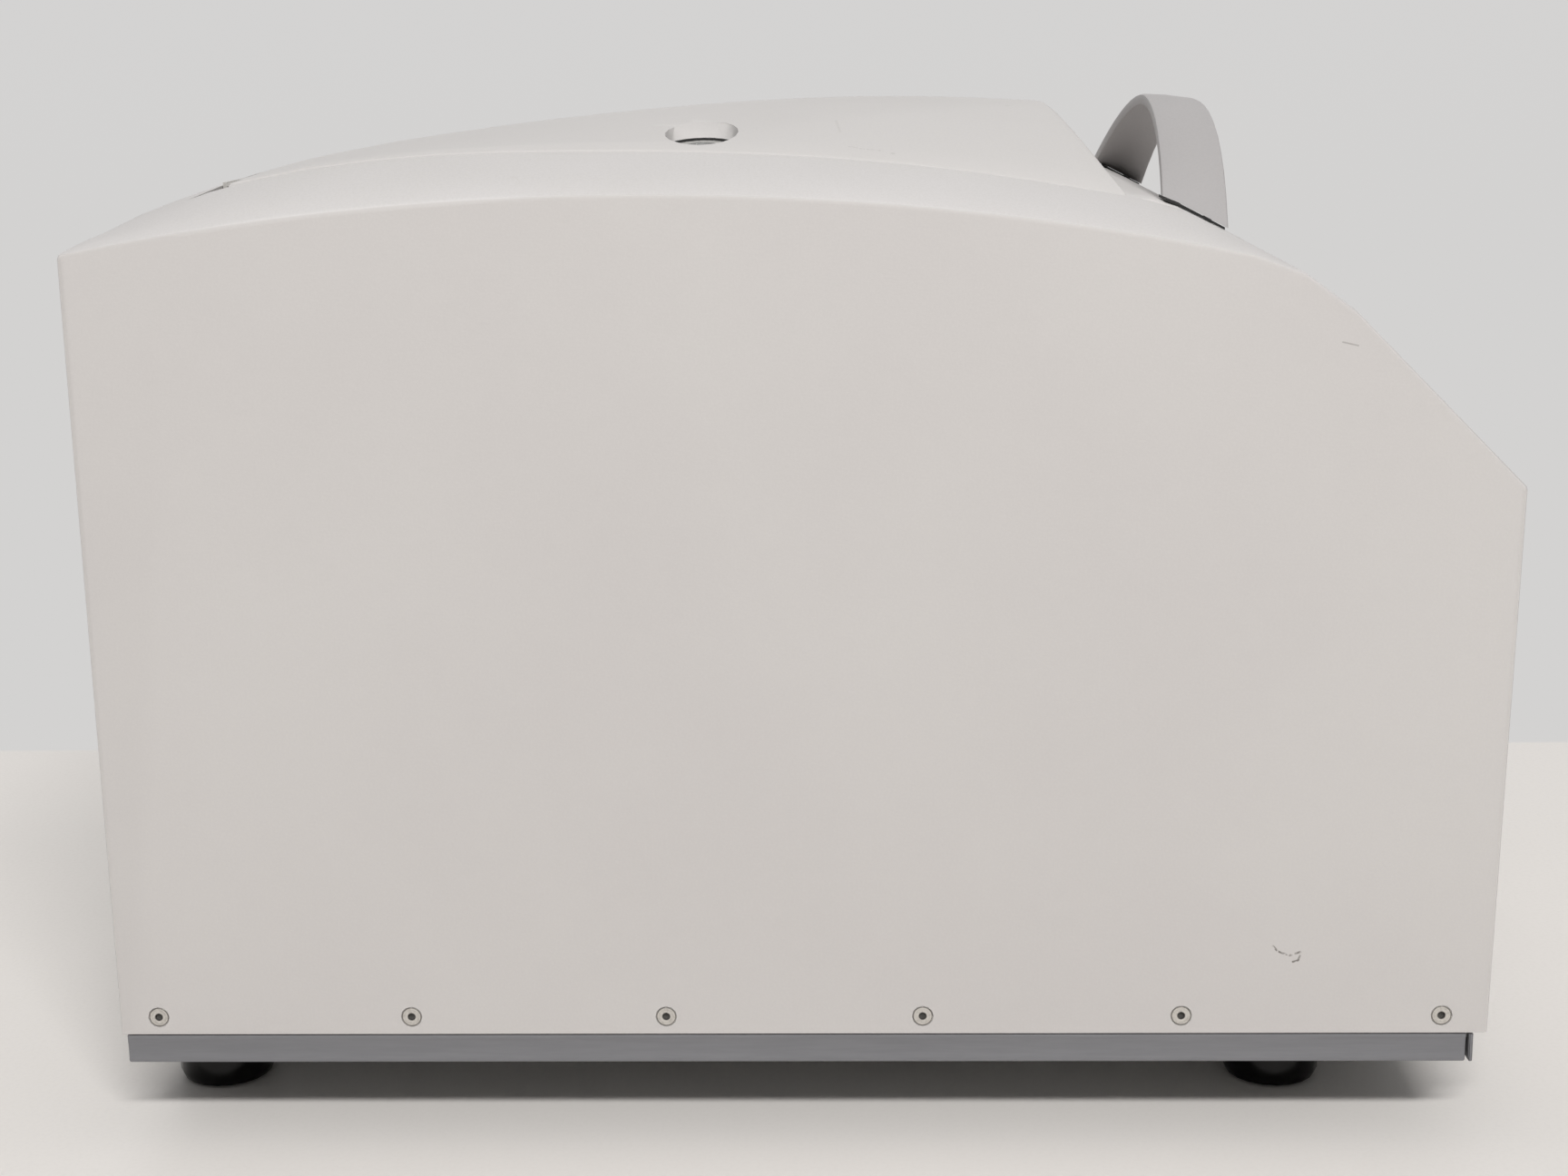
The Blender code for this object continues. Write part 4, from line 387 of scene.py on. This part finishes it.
looks = {
    # the hood's side tone is a painted shade on its flat flanks
    "hood": {"shadedSideTone": (189, 185, 183), "shadedSideFrom": (0.2488, 0.2496), "tone": (208, 205, 204),
             "shade": (196, 193, 190), "scuff": (194, 190, 186), "mark": (92, 86, 80), "drift": 0.4,
             "fleck": 0.3, "wear": 0.25, "rough": 0.54, "gloss": 0.38, "lay": (1.0, 0.4, 1.0),
             "grainScale": 700.0, "grain": 0.24, "grainDepth": 0.0002},
    "lid": {"tone": (205, 202, 200), "shade": (198, 195, 193), "scuff": (198, 194, 190),
            "mark": (150, 146, 140), "drift": 0.4, "fleck": 0.25, "wear": 0.25, "rough": 0.5,
            "gloss": 0.38, "grainScale": 640.0, "grain": 0.2, "grainDepth": 0.0002},
    "liner": {"tone": (200, 198, 194), "shade": (186, 183, 178), "scuff": (168, 164, 158), "drift": 0.6,
              "fleck": 0.3, "wear": 0.6, "rough": 0.6, "gloss": 0.35, "grainScale": 500.0, "grain": 0.3,
              "grainDepth": 0.0002},
    "handle": {"tone": (176, 173, 173), "shade": (169, 166, 165), "scuff": (170, 166, 162),
               "drift": 0.5, "fleck": 0.3, "wear": 0.3, "rough": 0.46, "gloss": 0.4,
               "grainScale": 760.0, "grain": 0.16, "grainDepth": 0.00015},
    "foot": {"tone": (5, 5, 5), "shade": (9, 9, 9), "scuff": (28, 27, 26), "drift": 0.6, "fleck": 0.4,
             "wear": 0.3, "rough": 0.12, "gloss": 0.26, "grainScale": 300.0, "grain": 0.06,
             "grainDepth": 0.0002},
    "keyMark": {"tone": (232, 232, 230), "shade": (214, 214, 212), "scuff": (160, 161, 163),
                "drift": 0.5, "fleck": 0.4, "wear": 0.6, "rough": 0.5, "gloss": 0.4,
                "grainScale": 900.0, "grain": 0.15, "grainDepth": 0.0001},
    "seal": {"tone": (30, 30, 30), "shade": (44, 43, 42), "scuff": (70, 68, 66), "drift": 0.6,
             "fleck": 0.6, "wear": 0.2, "rough": 0.72, "gloss": 0.3, "grainScale": 900.0, "grain": 0.35,
             "grainDepth": 0.0002},
    "gasket": {"tone": (28, 28, 28), "shade": (40, 40, 39), "scuff": (66, 64, 62), "drift": 0.6,
               "fleck": 0.5, "wear": 0.1, "rough": 0.66, "gloss": 0.35, "grainScale": 900.0,
               "grain": 0.3, "grainDepth": 0.0002},
    "knob": {"tone": (34, 34, 35), "shade": (50, 50, 50), "scuff": (84, 82, 80), "drift": 0.5,
             "fleck": 0.4, "wear": 0.5, "rough": 0.42, "gloss": 0.45, "grainScale": 700.0,
             "grain": 0.25, "grainDepth": 0.0002},
    "fascia": {"tone": (88, 89, 92), "shade": (78, 79, 82), "scuff": (124, 124, 126),
               "mark": (186, 187, 189), "drift": 0.5, "fleck": 0.3, "wear": 0.3, "rough": 0.4,
               "gloss": 0.45, "grainScale": 1100.0, "grain": 0.14, "grainDepth": 0.0001},
    "key": {"tone": (158, 160, 164), "shade": (142, 144, 148), "scuff": (180, 181, 183), "drift": 0.5,
            "fleck": 0.3, "wear": 0.5, "rough": 0.55, "gloss": 0.38, "grainScale": 900.0, "grain": 0.22,
            "grainDepth": 0.0001},
    "fan": {"tone": (38, 38, 39), "shade": (52, 52, 52), "scuff": (84, 83, 82), "drift": 0.6,
            "fleck": 0.5, "wear": 0.4, "rough": 0.5, "gloss": 0.4, "grainScale": 700.0, "grain": 0.22,
            "grainDepth": 0.0002},
    "inlet": {"tone": (30, 30, 31), "shade": (44, 44, 44), "scuff": (80, 79, 78), "drift": 0.5,
              "fleck": 0.4, "wear": 0.5, "rough": 0.46, "gloss": 0.42, "grainScale": 800.0,
              "grain": 0.2, "grainDepth": 0.0002},
    "rocker": {"tone": (24, 24, 25), "shade": (36, 36, 37), "scuff": (76, 75, 74), "drift": 0.5,
               "fleck": 0.3, "wear": 0.5, "rough": 0.28, "gloss": 0.5, "coat": 0.3, "grainScale": 900.0,
               "grain": 0.1, "grainDepth": 0.0001},
}

metalLooks = {
    "rail": {"tone": (116, 116, 119), "shade": (106, 106, 109), "scuff": (132, 132, 132), "metal": 0.0,
             "mark": (60, 60, 62), "brush": (1.0, 0.06, 1.0), "brushScale": 520.0, "streak": 0.45,
             "streakRough": 0.12, "drift": 0.25, "wear": 0.25, "rough": 0.46, "grain": 0.12,
             "grainDepth": 0.0002},
    "pan": {"tone": (176, 178, 178), "shade": (150, 152, 153), "scuff": (204, 204, 203), "metal": 0.85,
            "brush": (1.0, 0.1, 1.0), "brushScale": 300.0, "streak": 0.4, "streakRough": 0.15,
            "drift": 0.5, "wear": 0.6, "rough": 0.42, "grain": 0.15, "grainDepth": 0.0002},
    "steel": {"tone": (202, 200, 197), "shade": (168, 166, 163), "scuff": (226, 225, 223), "metal": 1.0,
              "brush": (1.0, 1.0, 0.08), "brushScale": 700.0, "streak": 0.4, "streakRough": 0.16,
              "drift": 0.3, "wear": 0.5, "rough": 0.3, "grain": 0.12, "grainDepth": 0.0001},
    "hinge": {"tone": (196, 193, 189), "shade": (178, 175, 171), "scuff": (214, 213, 211), "metal": 0.1,
              "brush": (0.1, 1.0, 1.0), "brushScale": 600.0, "streak": 0.3, "streakRough": 0.1,
              "drift": 0.4, "wear": 0.6, "rough": 0.42, "grain": 0.14, "grainDepth": 0.0001},
    "guard": {"tone": (150, 150, 150), "shade": (120, 120, 120), "scuff": (186, 185, 184), "metal": 0.9,
              "brush": (1.0, 1.0, 0.15), "brushScale": 260.0, "streak": 0.5, "streakRough": 0.2,
              "drift": 0.6, "wear": 0.5, "rough": 0.48, "grain": 0.2, "grainDepth": 0.0003},
    "aluminium": {"tone": (206, 207, 208), "shade": (182, 183, 185), "scuff": (228, 228, 228),
                  "metal": 1.0, "brush": (0.12, 1.0, 1.0), "brushScale": 500.0, "streak": 0.4,
                  "streakRough": 0.16, "drift": 0.3, "wear": 0.5, "rough": 0.38, "grain": 0.14,
                  "grainDepth": 0.0001},
    "motor": {"tone": (60, 60, 62), "shade": (44, 44, 46), "scuff": (120, 119, 117), "metal": 0.2,
              "brush": (1.0, 1.0, 1.0), "brushScale": 800.0, "streak": 0.5, "streakRough": 0.15,
              "drift": 0.5, "wear": 0.5, "rough": 0.45, "grain": 0.3, "grainDepth": 0.0003},
    "panel": {"tone": (178, 176, 173), "shade": (164, 162, 159), "scuff": (206, 205, 203),
              "metal": 0.05, "brush": (1.0, 1.0, 1.0), "brushScale": 1300.0, "streak": 0.5,
              "streakRough": 0.12, "drift": 0.4, "wear": 0.4, "rough": 0.52, "grain": 0.35,
              "grainDepth": 0.0002},
}

turnedLooks = {
    "bowl": {"tone": (204, 204, 202), "shade": (172, 172, 171), "scuff": (228, 228, 226), "metal": 1.0,
             "ringScale": 420.0, "streak": 0.45, "drift": 0.3, "wear": 0.5, "rough": 0.3, "grain": 0.14,
             "grainDepth": 0.0001},
    "rotor": {"tone": (186, 188, 191), "shade": (160, 162, 166), "scuff": (216, 217, 218),
              "metal": 0.95, "ringScale": 700.0, "streak": 0.4, "drift": 0.3, "wear": 0.5,
              "rough": 0.34, "grain": 0.16, "grainDepth": 0.0001},
    "bucket": {"tone": (204, 206, 209), "shade": (180, 182, 186), "scuff": (228, 229, 230),
               "metal": 0.95, "ringScale": 800.0, "streak": 0.4, "drift": 0.3, "wear": 0.6,
               "rough": 0.32, "grain": 0.16, "grainDepth": 0.0001},
}

glassLooks = {
    "display": {"tone": (26, 30, 33), "dust": (96, 98, 99), "rough": 0.08, "clear": 0.0},
}

sightLook = {"tone": (176, 180, 180), "dust": (206, 205, 202), "reflectionRing": (206, 204, 200),
             "reflectionRingShade": (190, 188, 184), "rough": 0.05, "centre": (-0.1445, 0.0450),
             "clearRadius": 0.0098}

# on the screw heads the line colour is a painted countersink shadow, the rim colour a painted highlight and
# the hole colour a painted shade in the socket
screwLook = {"tone": (208, 204, 198), "shade": (178, 174, 168), "line": (84, 80, 76),
             "rim": (214, 212, 208), "hole": (22, 20, 18), "ringScale": 2600.0, "stainScale": 700.0,
             "streak": 0.5, "drift": 0.5, "rough": 0.42, "edge": 0.0043, "socket": 0.0019, "grain": 0.3,
             "grainDepth": 0.0001}
flankScrews = {"first": 0.3063, "pitch": 0.1210, "height": 0.0600}
panelScrews = {"x": 0.189, "low": 0.105, "high": 0.275, "radius": 0.0045, "shank": 0.0023,
               "sunk": 0.0004, "coneDepth": 0.0026, "length": 0.0090, "flats": 0.0032,
               "socketDepth": 0.0018, "round": 0.0003, "sides": 36}


def boardPaint(name):
    look = {"tone": (24, 92, 58), "track": (40, 122, 78), "pad": (176, 160, 104), "rough": 0.34}
    material, paint = newMaterial(name)
    where = paint.place()
    grid = paint.node("ShaderNodeTexBrick", {"offset": 0.5, "squash": 0.6}, {
        "Vector": where, "Scale": 120.0, "Mortar Size": 0.02, "Brick Width": 0.9, "Row Height": 0.3},
        output="Fac")
    pads = 1 - paint.cells(where, 260.0).band(0.16, 0.2)
    mottle = paint.noise(where, 60.0, 2.0).band(0.4, 0.7) * 0.3
    colour = paint.mix(grid * 0.7 + mottle, linear(*look["tone"]), linear(*look["track"]))
    colour = paint.mix(pads * 0.8, colour, linear(*look["pad"]))
    normal = paint.bump(grid + pads, 0.4, 0.0001)
    paint.finish(paint.node("ShaderNodeBsdfPrincipled", inputs={
        "Base Color": colour, "Roughness": look["rough"] + mottle * 0.2, "Metallic": pads * 0.8,
        "Normal": normal}))
    return material


fasciaLook = {"display": (0.0725, 0.0300), "keys": (0.0480, 0.0300), "turn": 0.006, "line": 0.00035}
slopeUp = Vector((0.0, -0.71080, 0.70339))  # out of the control slope
slopeAlong = Vector((0.0, 0.70339, 0.71080))  # up the control slope


def middleOf(*names):
    lows = [Vector(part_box(name)[0]) for name in names]
    highs = [Vector(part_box(name)[1]) for name in names]
    return (Vector(map(min, zip(*lows))) + Vector(map(max, zip(*highs)))) / 2


def fasciaLines(paint, where):  # a thin printed line round the display and one round the keys
    lines = None
    for names, half in ((("display_glass",), fasciaLook["display"]),
                        (("key_start", "key_stop", "key_lid", "key_set"), fasciaLook["keys"])):
        away = paint.vector("SUBTRACT", where, tuple(middleOf(*names)))
        across = away.part("X").math("ABSOLUTE") - (half[0] - fasciaLook["turn"])
        along = paint.vector("DOT_PRODUCT", away, tuple(slopeAlong), output="Value").math("ABSOLUTE")
        along = along - (half[1] - fasciaLook["turn"])
        outside = paint.reach(across.most(0.0), along.most(0.0)) + across.most(along).least(0.0)
        gap = (outside - fasciaLook["turn"]).math("ABSOLUTE")
        line = 1 - gap.band(fasciaLook["line"] * 0.5, fasciaLook["line"])
        lines = line if lines is None else lines.most(line)
    return lines * 0.8


def buildMaterials():
    made = {}
    marks = {"hood": flankMarks, "lid": lidMarks, "rail": railMarks, "fascia": fasciaLines}
    for slot, look in looks.items():
        made[slot] = moulded(slot + "Finish", look, marks.get(slot))
    for slot, look in metalLooks.items():
        made[slot] = metal(slot + "Finish", look, marks.get(slot))
    for slot, look in turnedLooks.items():
        made[slot] = turnedMetal(slot + "Finish", look, (0.0, 0.05, 0.0))
    for slot, look in glassLooks.items():
        made[slot] = glassy(slot + "Finish", look)
    made["board"] = boardPaint("boardFinish")
    made["port_glass"] = sightGlass("sightGlassFinish", sightLook)
    made["screw"] = screwFace("flankScrewFinish", screwLook, flankReach)
    made["panelScrew"] = screwFace("panelScrewFinish", screwLook, panelReach)
    return made


materials = buildMaterials()
print("finishes made:", len(materials))


# CAD nodes: smooth shading by angle and the finishes above

smoothing = {"angle": 32.0, "merge": 0.00001}


def shadingGroup(look):
    group = bpy.data.node_groups.new("smoothByAngle", "GeometryNodeTree")
    group.interface.new_socket("Geometry", in_out="INPUT", socket_type="NodeSocketGeometry")
    group.interface.new_socket("Geometry", in_out="OUTPUT", socket_type="NodeSocketGeometry")
    nodes = group.nodes
    link = group.links.new
    start = nodes.new("NodeGroupInput")
    merge = nodes.new("GeometryNodeMergeByDistance")
    merge.inputs["Distance"].default_value = look["merge"]
    forget = nodes.new("GeometryNodeRemoveAttribute")
    forget.inputs["Name"].default_value = "custom_normal"
    faces = nodes.new("GeometryNodeSetShadeSmooth")
    edges = nodes.new("GeometryNodeSetShadeSmooth")
    edges.domain = "EDGE"
    turn = nodes.new("GeometryNodeInputMeshEdgeAngle")
    shallow = nodes.new("FunctionNodeCompare")
    shallow.data_type = "FLOAT"
    shallow.operation = "LESS_THAN"
    shallow.inputs["B"].default_value = math.radians(look["angle"])
    end = nodes.new("NodeGroupOutput")
    link(start.outputs[0], merge.inputs["Geometry"])
    link(merge.outputs[0], forget.inputs["Geometry"])
    link(forget.outputs[0], faces.inputs["Geometry"])
    link(faces.outputs[0], edges.inputs["Geometry"])
    link(turn.outputs["Unsigned Angle"], shallow.inputs["A"])
    link(shallow.outputs["Result"], edges.inputs["Shade Smooth"])
    link(edges.outputs[0], end.inputs[0])
    return group


smoothGroup = shadingGroup(smoothing)
bevelShape = {"segments": 2, "angle": 40.0}
bevels = {"rail": 0.0004, "screw": 0.0002, "rotor": 0.0006, "bucket": 0.0006, "knob": 0.0006,
          "motor": 0.001, "aluminium": 0.001, "key": 0.0006, "rocker": 0.0005, "inlet": 0.0004,
          "display": 0.0003, "panel": 0.0003, "hinge": 0.0003, "steel": 0.0004}


def slotOf(node):
    return node.data.materials[0].name.split(".")[0]


def dressNode(node):
    slot = slotOf(node)
    for index in range(len(node.material_slots)):
        node.material_slots[index].link = "OBJECT"
        node.material_slots[index].material = materials[slot]
    smooth = node.modifiers.new("smoothByAngle", "NODES")
    smooth.node_group = smoothGroup
    if slot in bevels:
        bevel = node.modifiers.new("softEdges", "BEVEL")
        bevel.width = bevels[slot]
        bevel.segments = bevelShape["segments"]
        bevel.limit_method = "ANGLE"
        bevel.angle_limit = math.radians(bevelShape["angle"])
        bevel.harden_normals = True


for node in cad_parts.values():
    dressNode(node)
print("nodes dressed:", len(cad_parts))


# Pieces made here: the rear panel's screws and the marks on the keys

def newPiece(name, form, material, body):
    mesh = bpy.data.meshes.new(name)
    bmesh.ops.recalc_face_normals(form, faces=form.faces)
    form.to_mesh(mesh)
    form.free()
    mesh.materials.append(material)
    piece = bpy.data.objects.new(name, mesh)
    bpy.context.scene.collection.objects.link(piece)
    smooth = piece.modifiers.new("smoothByAngle", "NODES")
    smooth.node_group = smoothGroup
    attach(piece, body)
    return piece


def hexRing(count, flats):  # points on a hexagon, as many as the round rings have
    points = []
    for index in range(count):
        angle = 2 * math.pi * index / count
        inSector = (angle + math.pi / 6) % (math.pi / 3) - math.pi / 6
        reach = flats / 2 / math.cos(inSector)
        points.append((reach * math.cos(angle), reach * math.sin(angle)))
    return points


def makePanelScrew(name, x, z, face):
    look = panelScrews
    count = look["sides"]
    turns = [2 * math.pi * i / count for i in range(count)]
    circle = [(math.cos(turn), math.sin(turn)) for turn in turns]
    form = bmesh.new()

    def ring(points, scale, depth):
        return [form.verts.new((x + u * scale, face - depth, z + v * scale)) for u, v in points]

    sunk = look["sunk"]
    edge = look["round"]
    rings = [ring(circle, look["shank"] * 0.7, look["length"]),
             ring(circle, look["shank"], look["length"] - edge),
             ring(circle, look["shank"], look["coneDepth"]),
             ring(circle, look["radius"], sunk + edge * 2),
             ring(circle, look["radius"], sunk + edge),
             ring(circle, look["radius"] - edge * 0.3, sunk + edge * 0.3),
             ring(circle, look["radius"] - edge, sunk),
             ring(hexRing(count, look["flats"] + edge), 1.0, sunk),
             ring(hexRing(count, look["flats"]), 1.0, sunk + edge * 0.5),
             ring(hexRing(count, look["flats"]), 1.0, sunk + look["socketDepth"])]
    for lower, upper in zip(rings, rings[1:]):
        for i in range(count):
            form.faces.new((lower[i], lower[i - 1], upper[i - 1], upper[i]))
    form.faces.new(rings[0])
    form.faces.new(rings[-1])
    newPiece(name, form, materials["panelScrew"], "machine")


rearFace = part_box("hood")[1][1]
for number, (side, height) in enumerate(((-1, "low"), (-1, "high"), (1, "low"), (1, "high")), 1):
    makePanelScrew("panelScrew" + str(number), side * panelScrews["x"], panelScrews[height], rearFace)
print("panel screws made")

keyMarks = {"size": 0.0034, "proud": 0.00012, "sunk": 0.0001, "soft": 0.00006}
markShapes = {
    "key_start": [[(-0.75, -0.9), (1.0, 0.0), (-0.75, 0.9)]],
    "key_stop": [[(-0.8, -0.8), (0.8, -0.8), (0.8, 0.8), (-0.8, 0.8)]],
    "key_lid": [[(-0.95, -0.15), (0.95, -0.15), (0.0, 0.9)],
                [(-0.95, -0.8), (0.95, -0.8), (0.95, -0.5), (-0.95, -0.5)]],
    "key_set": [[(math.cos(math.radians(degrees)) * 0.7, math.sin(math.radians(degrees)) * 0.7)
                 for degrees in range(0, 360, 15)]],
}


def makeKeyMark(node, shapes):
    points = [vertex.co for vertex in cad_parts[node].data.vertices]
    top = max(point.dot(slopeUp) for point in points)
    centre = middleOf(node)
    centre = centre + slopeUp * (top - centre.dot(slopeUp))
    form = bmesh.new()
    for shape in shapes:
        low = []
        high = []
        crown = []
        for u, v in shape:
            place = centre + Vector((u * keyMarks["size"], 0.0, 0.0)) + slopeAlong * (v * keyMarks["size"])
            inward = (centre - place) * (keyMarks["soft"] / keyMarks["size"])
            low.append(form.verts.new(place - slopeUp * keyMarks["sunk"]))
            high.append(form.verts.new(place + slopeUp * (keyMarks["proud"] - keyMarks["soft"])))
            crown.append(form.verts.new(place + inward + slopeUp * keyMarks["proud"]))
        for i in range(len(shape)):
            form.faces.new((low[i - 1], low[i], high[i], high[i - 1]))
            form.faces.new((high[i - 1], high[i], crown[i], crown[i - 1]))
        form.faces.new(low)
        form.faces.new(crown)
    newPiece(node + "_mark", form, materials["keyMark"], node)


for node, shapes in markShapes.items():
    makeKeyMark(node, shapes)
print("key marks made")


# Bench, world and lamps

bench = {"near": -3.0, "far": 3.0, "half": 3.0, "join": (0.381, 0.389), "tone": (231, 227, 223),
         "shade": (224, 220, 216), "wall": (214, 213, 213), "shadedWallFoot": (211, 210, 209),
         "cloudScale": 1.6, "fleckScale": 420.0, "grainScale": 260.0, "rough": 0.42, "gloss": 0.3}


def makeBench():
    mesh = bpy.data.meshes.new("benchTop")
    form = bmesh.new()
    corners = [(bench["near"], -bench["half"]), (bench["far"], -bench["half"]),
               (bench["far"], bench["half"]), (bench["near"], bench["half"])]
    form.faces.new([form.verts.new((x, y, 0.0)) for x, y in corners])
    form.to_mesh(mesh)
    form.free()
    top = bpy.data.objects.new("benchTop", mesh)
    bpy.context.scene.collection.objects.link(top)
    material, paint = newMaterial("benchFinish")
    where = paint.place()
    cloud = paint.noise(where, bench["cloudScale"], 3.0).band(0.3, 0.7)
    fleck = paint.noise(where, bench["fleckScale"], 2.0, seed=1.0).band(0.4, 0.7)
    colour = paint.mix(cloud * 0.4 + fleck * 0.2, linear(*bench["tone"]), linear(*bench["shade"]))
    normal = paint.bump(paint.noise(where, bench["grainScale"], 3.0), 0.08, 0.0004)
    slab = paint.node("ShaderNodeBsdfPrincipled", inputs={
        "Base Color": colour, "Roughness": bench["rough"] + fleck * 0.1, "Normal": normal,
        "Specular IOR Level": bench["gloss"]})
    # beyond the join the bench shows the wall's foot colour, with its painted shade
    beyond = paint.node("ShaderNodeEmission", inputs={"Color": linear(*bench["shadedWallFoot"]), "Strength": 1.0})
    past = where.part("X").band(*bench["join"])  # the wall starts where the bench ends
    paint.finish(paint.node("ShaderNodeMixShader", inputs={"Fac": past * paint.seen(), 1: slab, 2: beyond}))
    mesh.materials.append(material)


def makeWorld():
    world = bpy.data.worlds.new("roomLight")
    bpy.context.scene.world = world
    world.use_nodes = True
    paint = Paint(world.node_tree)
    up = paint.node("ShaderNodeTexCoord", output="Generated").part("Z")
    # painted shade: the wall seen by the camera darkens towards its foot
    wall = paint.mix(up.band(-0.1, 0.25), linear(*bench["shadedWallFoot"]), linear(*bench["wall"]))
    seenWall = paint.node("ShaderNodeBackground", inputs={"Color": wall, "Strength": 1.0})
    sky = paint.mix(up.band(-0.2, 1.0), (*[lamps["horizon"]] * 3, 1.0), (*[lamps["zenith"]] * 3, 1.0))
    light = paint.node("ShaderNodeBackground", inputs={"Color": sky, "Strength": 1.0})
    both = paint.node("ShaderNodeMixShader", inputs={"Fac": paint.seen(), 1: light, 2: seenWall})
    paint.node("ShaderNodeOutputWorld", inputs={"Surface": both})


lamps = {"horizon": 0.18, "zenith": 0.38, "colour": (1.0, 0.995, 0.985),
         "room": {"place": (-5.7, -0.9, 5.60), "target": (-0.2, 0.0, 0.1), "size": (4.2, 0.62),
                  "power": 520.0, "shine": True},
         "far": {"place": (3.4, 0.3, 2.0), "target": (0.0, 0.0, 0.25), "size": (2.4, 1.4), "power": 26.0,
                 "shine": False}}


def makeLamp(name, look):
    light = bpy.data.lights.new(name, "AREA")
    light.shape = "RECTANGLE"
    light.size, light.size_y = look["size"]
    light.energy = look["power"]
    light.color = lamps["colour"]
    lamp = bpy.data.objects.new(name, light)
    lamp.location = look["place"]
    aim = Vector(look["target"]) - Vector(look["place"])
    lamp.rotation_euler = aim.to_track_quat("-Z", "Y").to_euler()
    lamp.visible_glossy = look["shine"]
    bpy.context.scene.collection.objects.link(lamp)


makeBench()
makeWorld()
makeLamp("roomLamp", lamps["room"])
makeLamp("farLamp", lamps["far"])
print("bench, world and lamps made")


# Camera, solved from the photograph

view = {"place": (-1.28755, -0.03085, 0.50771), "turn": -0.03499, "down": 0.22748, "roll": 0.01566,
        "lens": 54.1667, "sensor": 36.0}


def makeCamera():
    data = bpy.data.cameras.new("photoCamera")
    data.lens = view["lens"]
    data.sensor_width = view["sensor"]
    data.sensor_fit = "HORIZONTAL"
    camera = bpy.data.objects.new("photoCamera", data)
    turn = Euler((math.radians(90) - view["down"], 0.0, math.radians(-90) - view["turn"]))
    turn = turn.to_matrix().to_4x4()
    roll = Matrix.Rotation(-view["roll"], 4, "Z")
    camera.matrix_world = Matrix.Translation(view["place"]) @ turn @ roll
    bpy.context.scene.collection.objects.link(camera)
    bpy.context.scene.camera = camera


makeCamera()
bpy.context.scene.view_settings.view_transform = "Standard"
print("camera made")
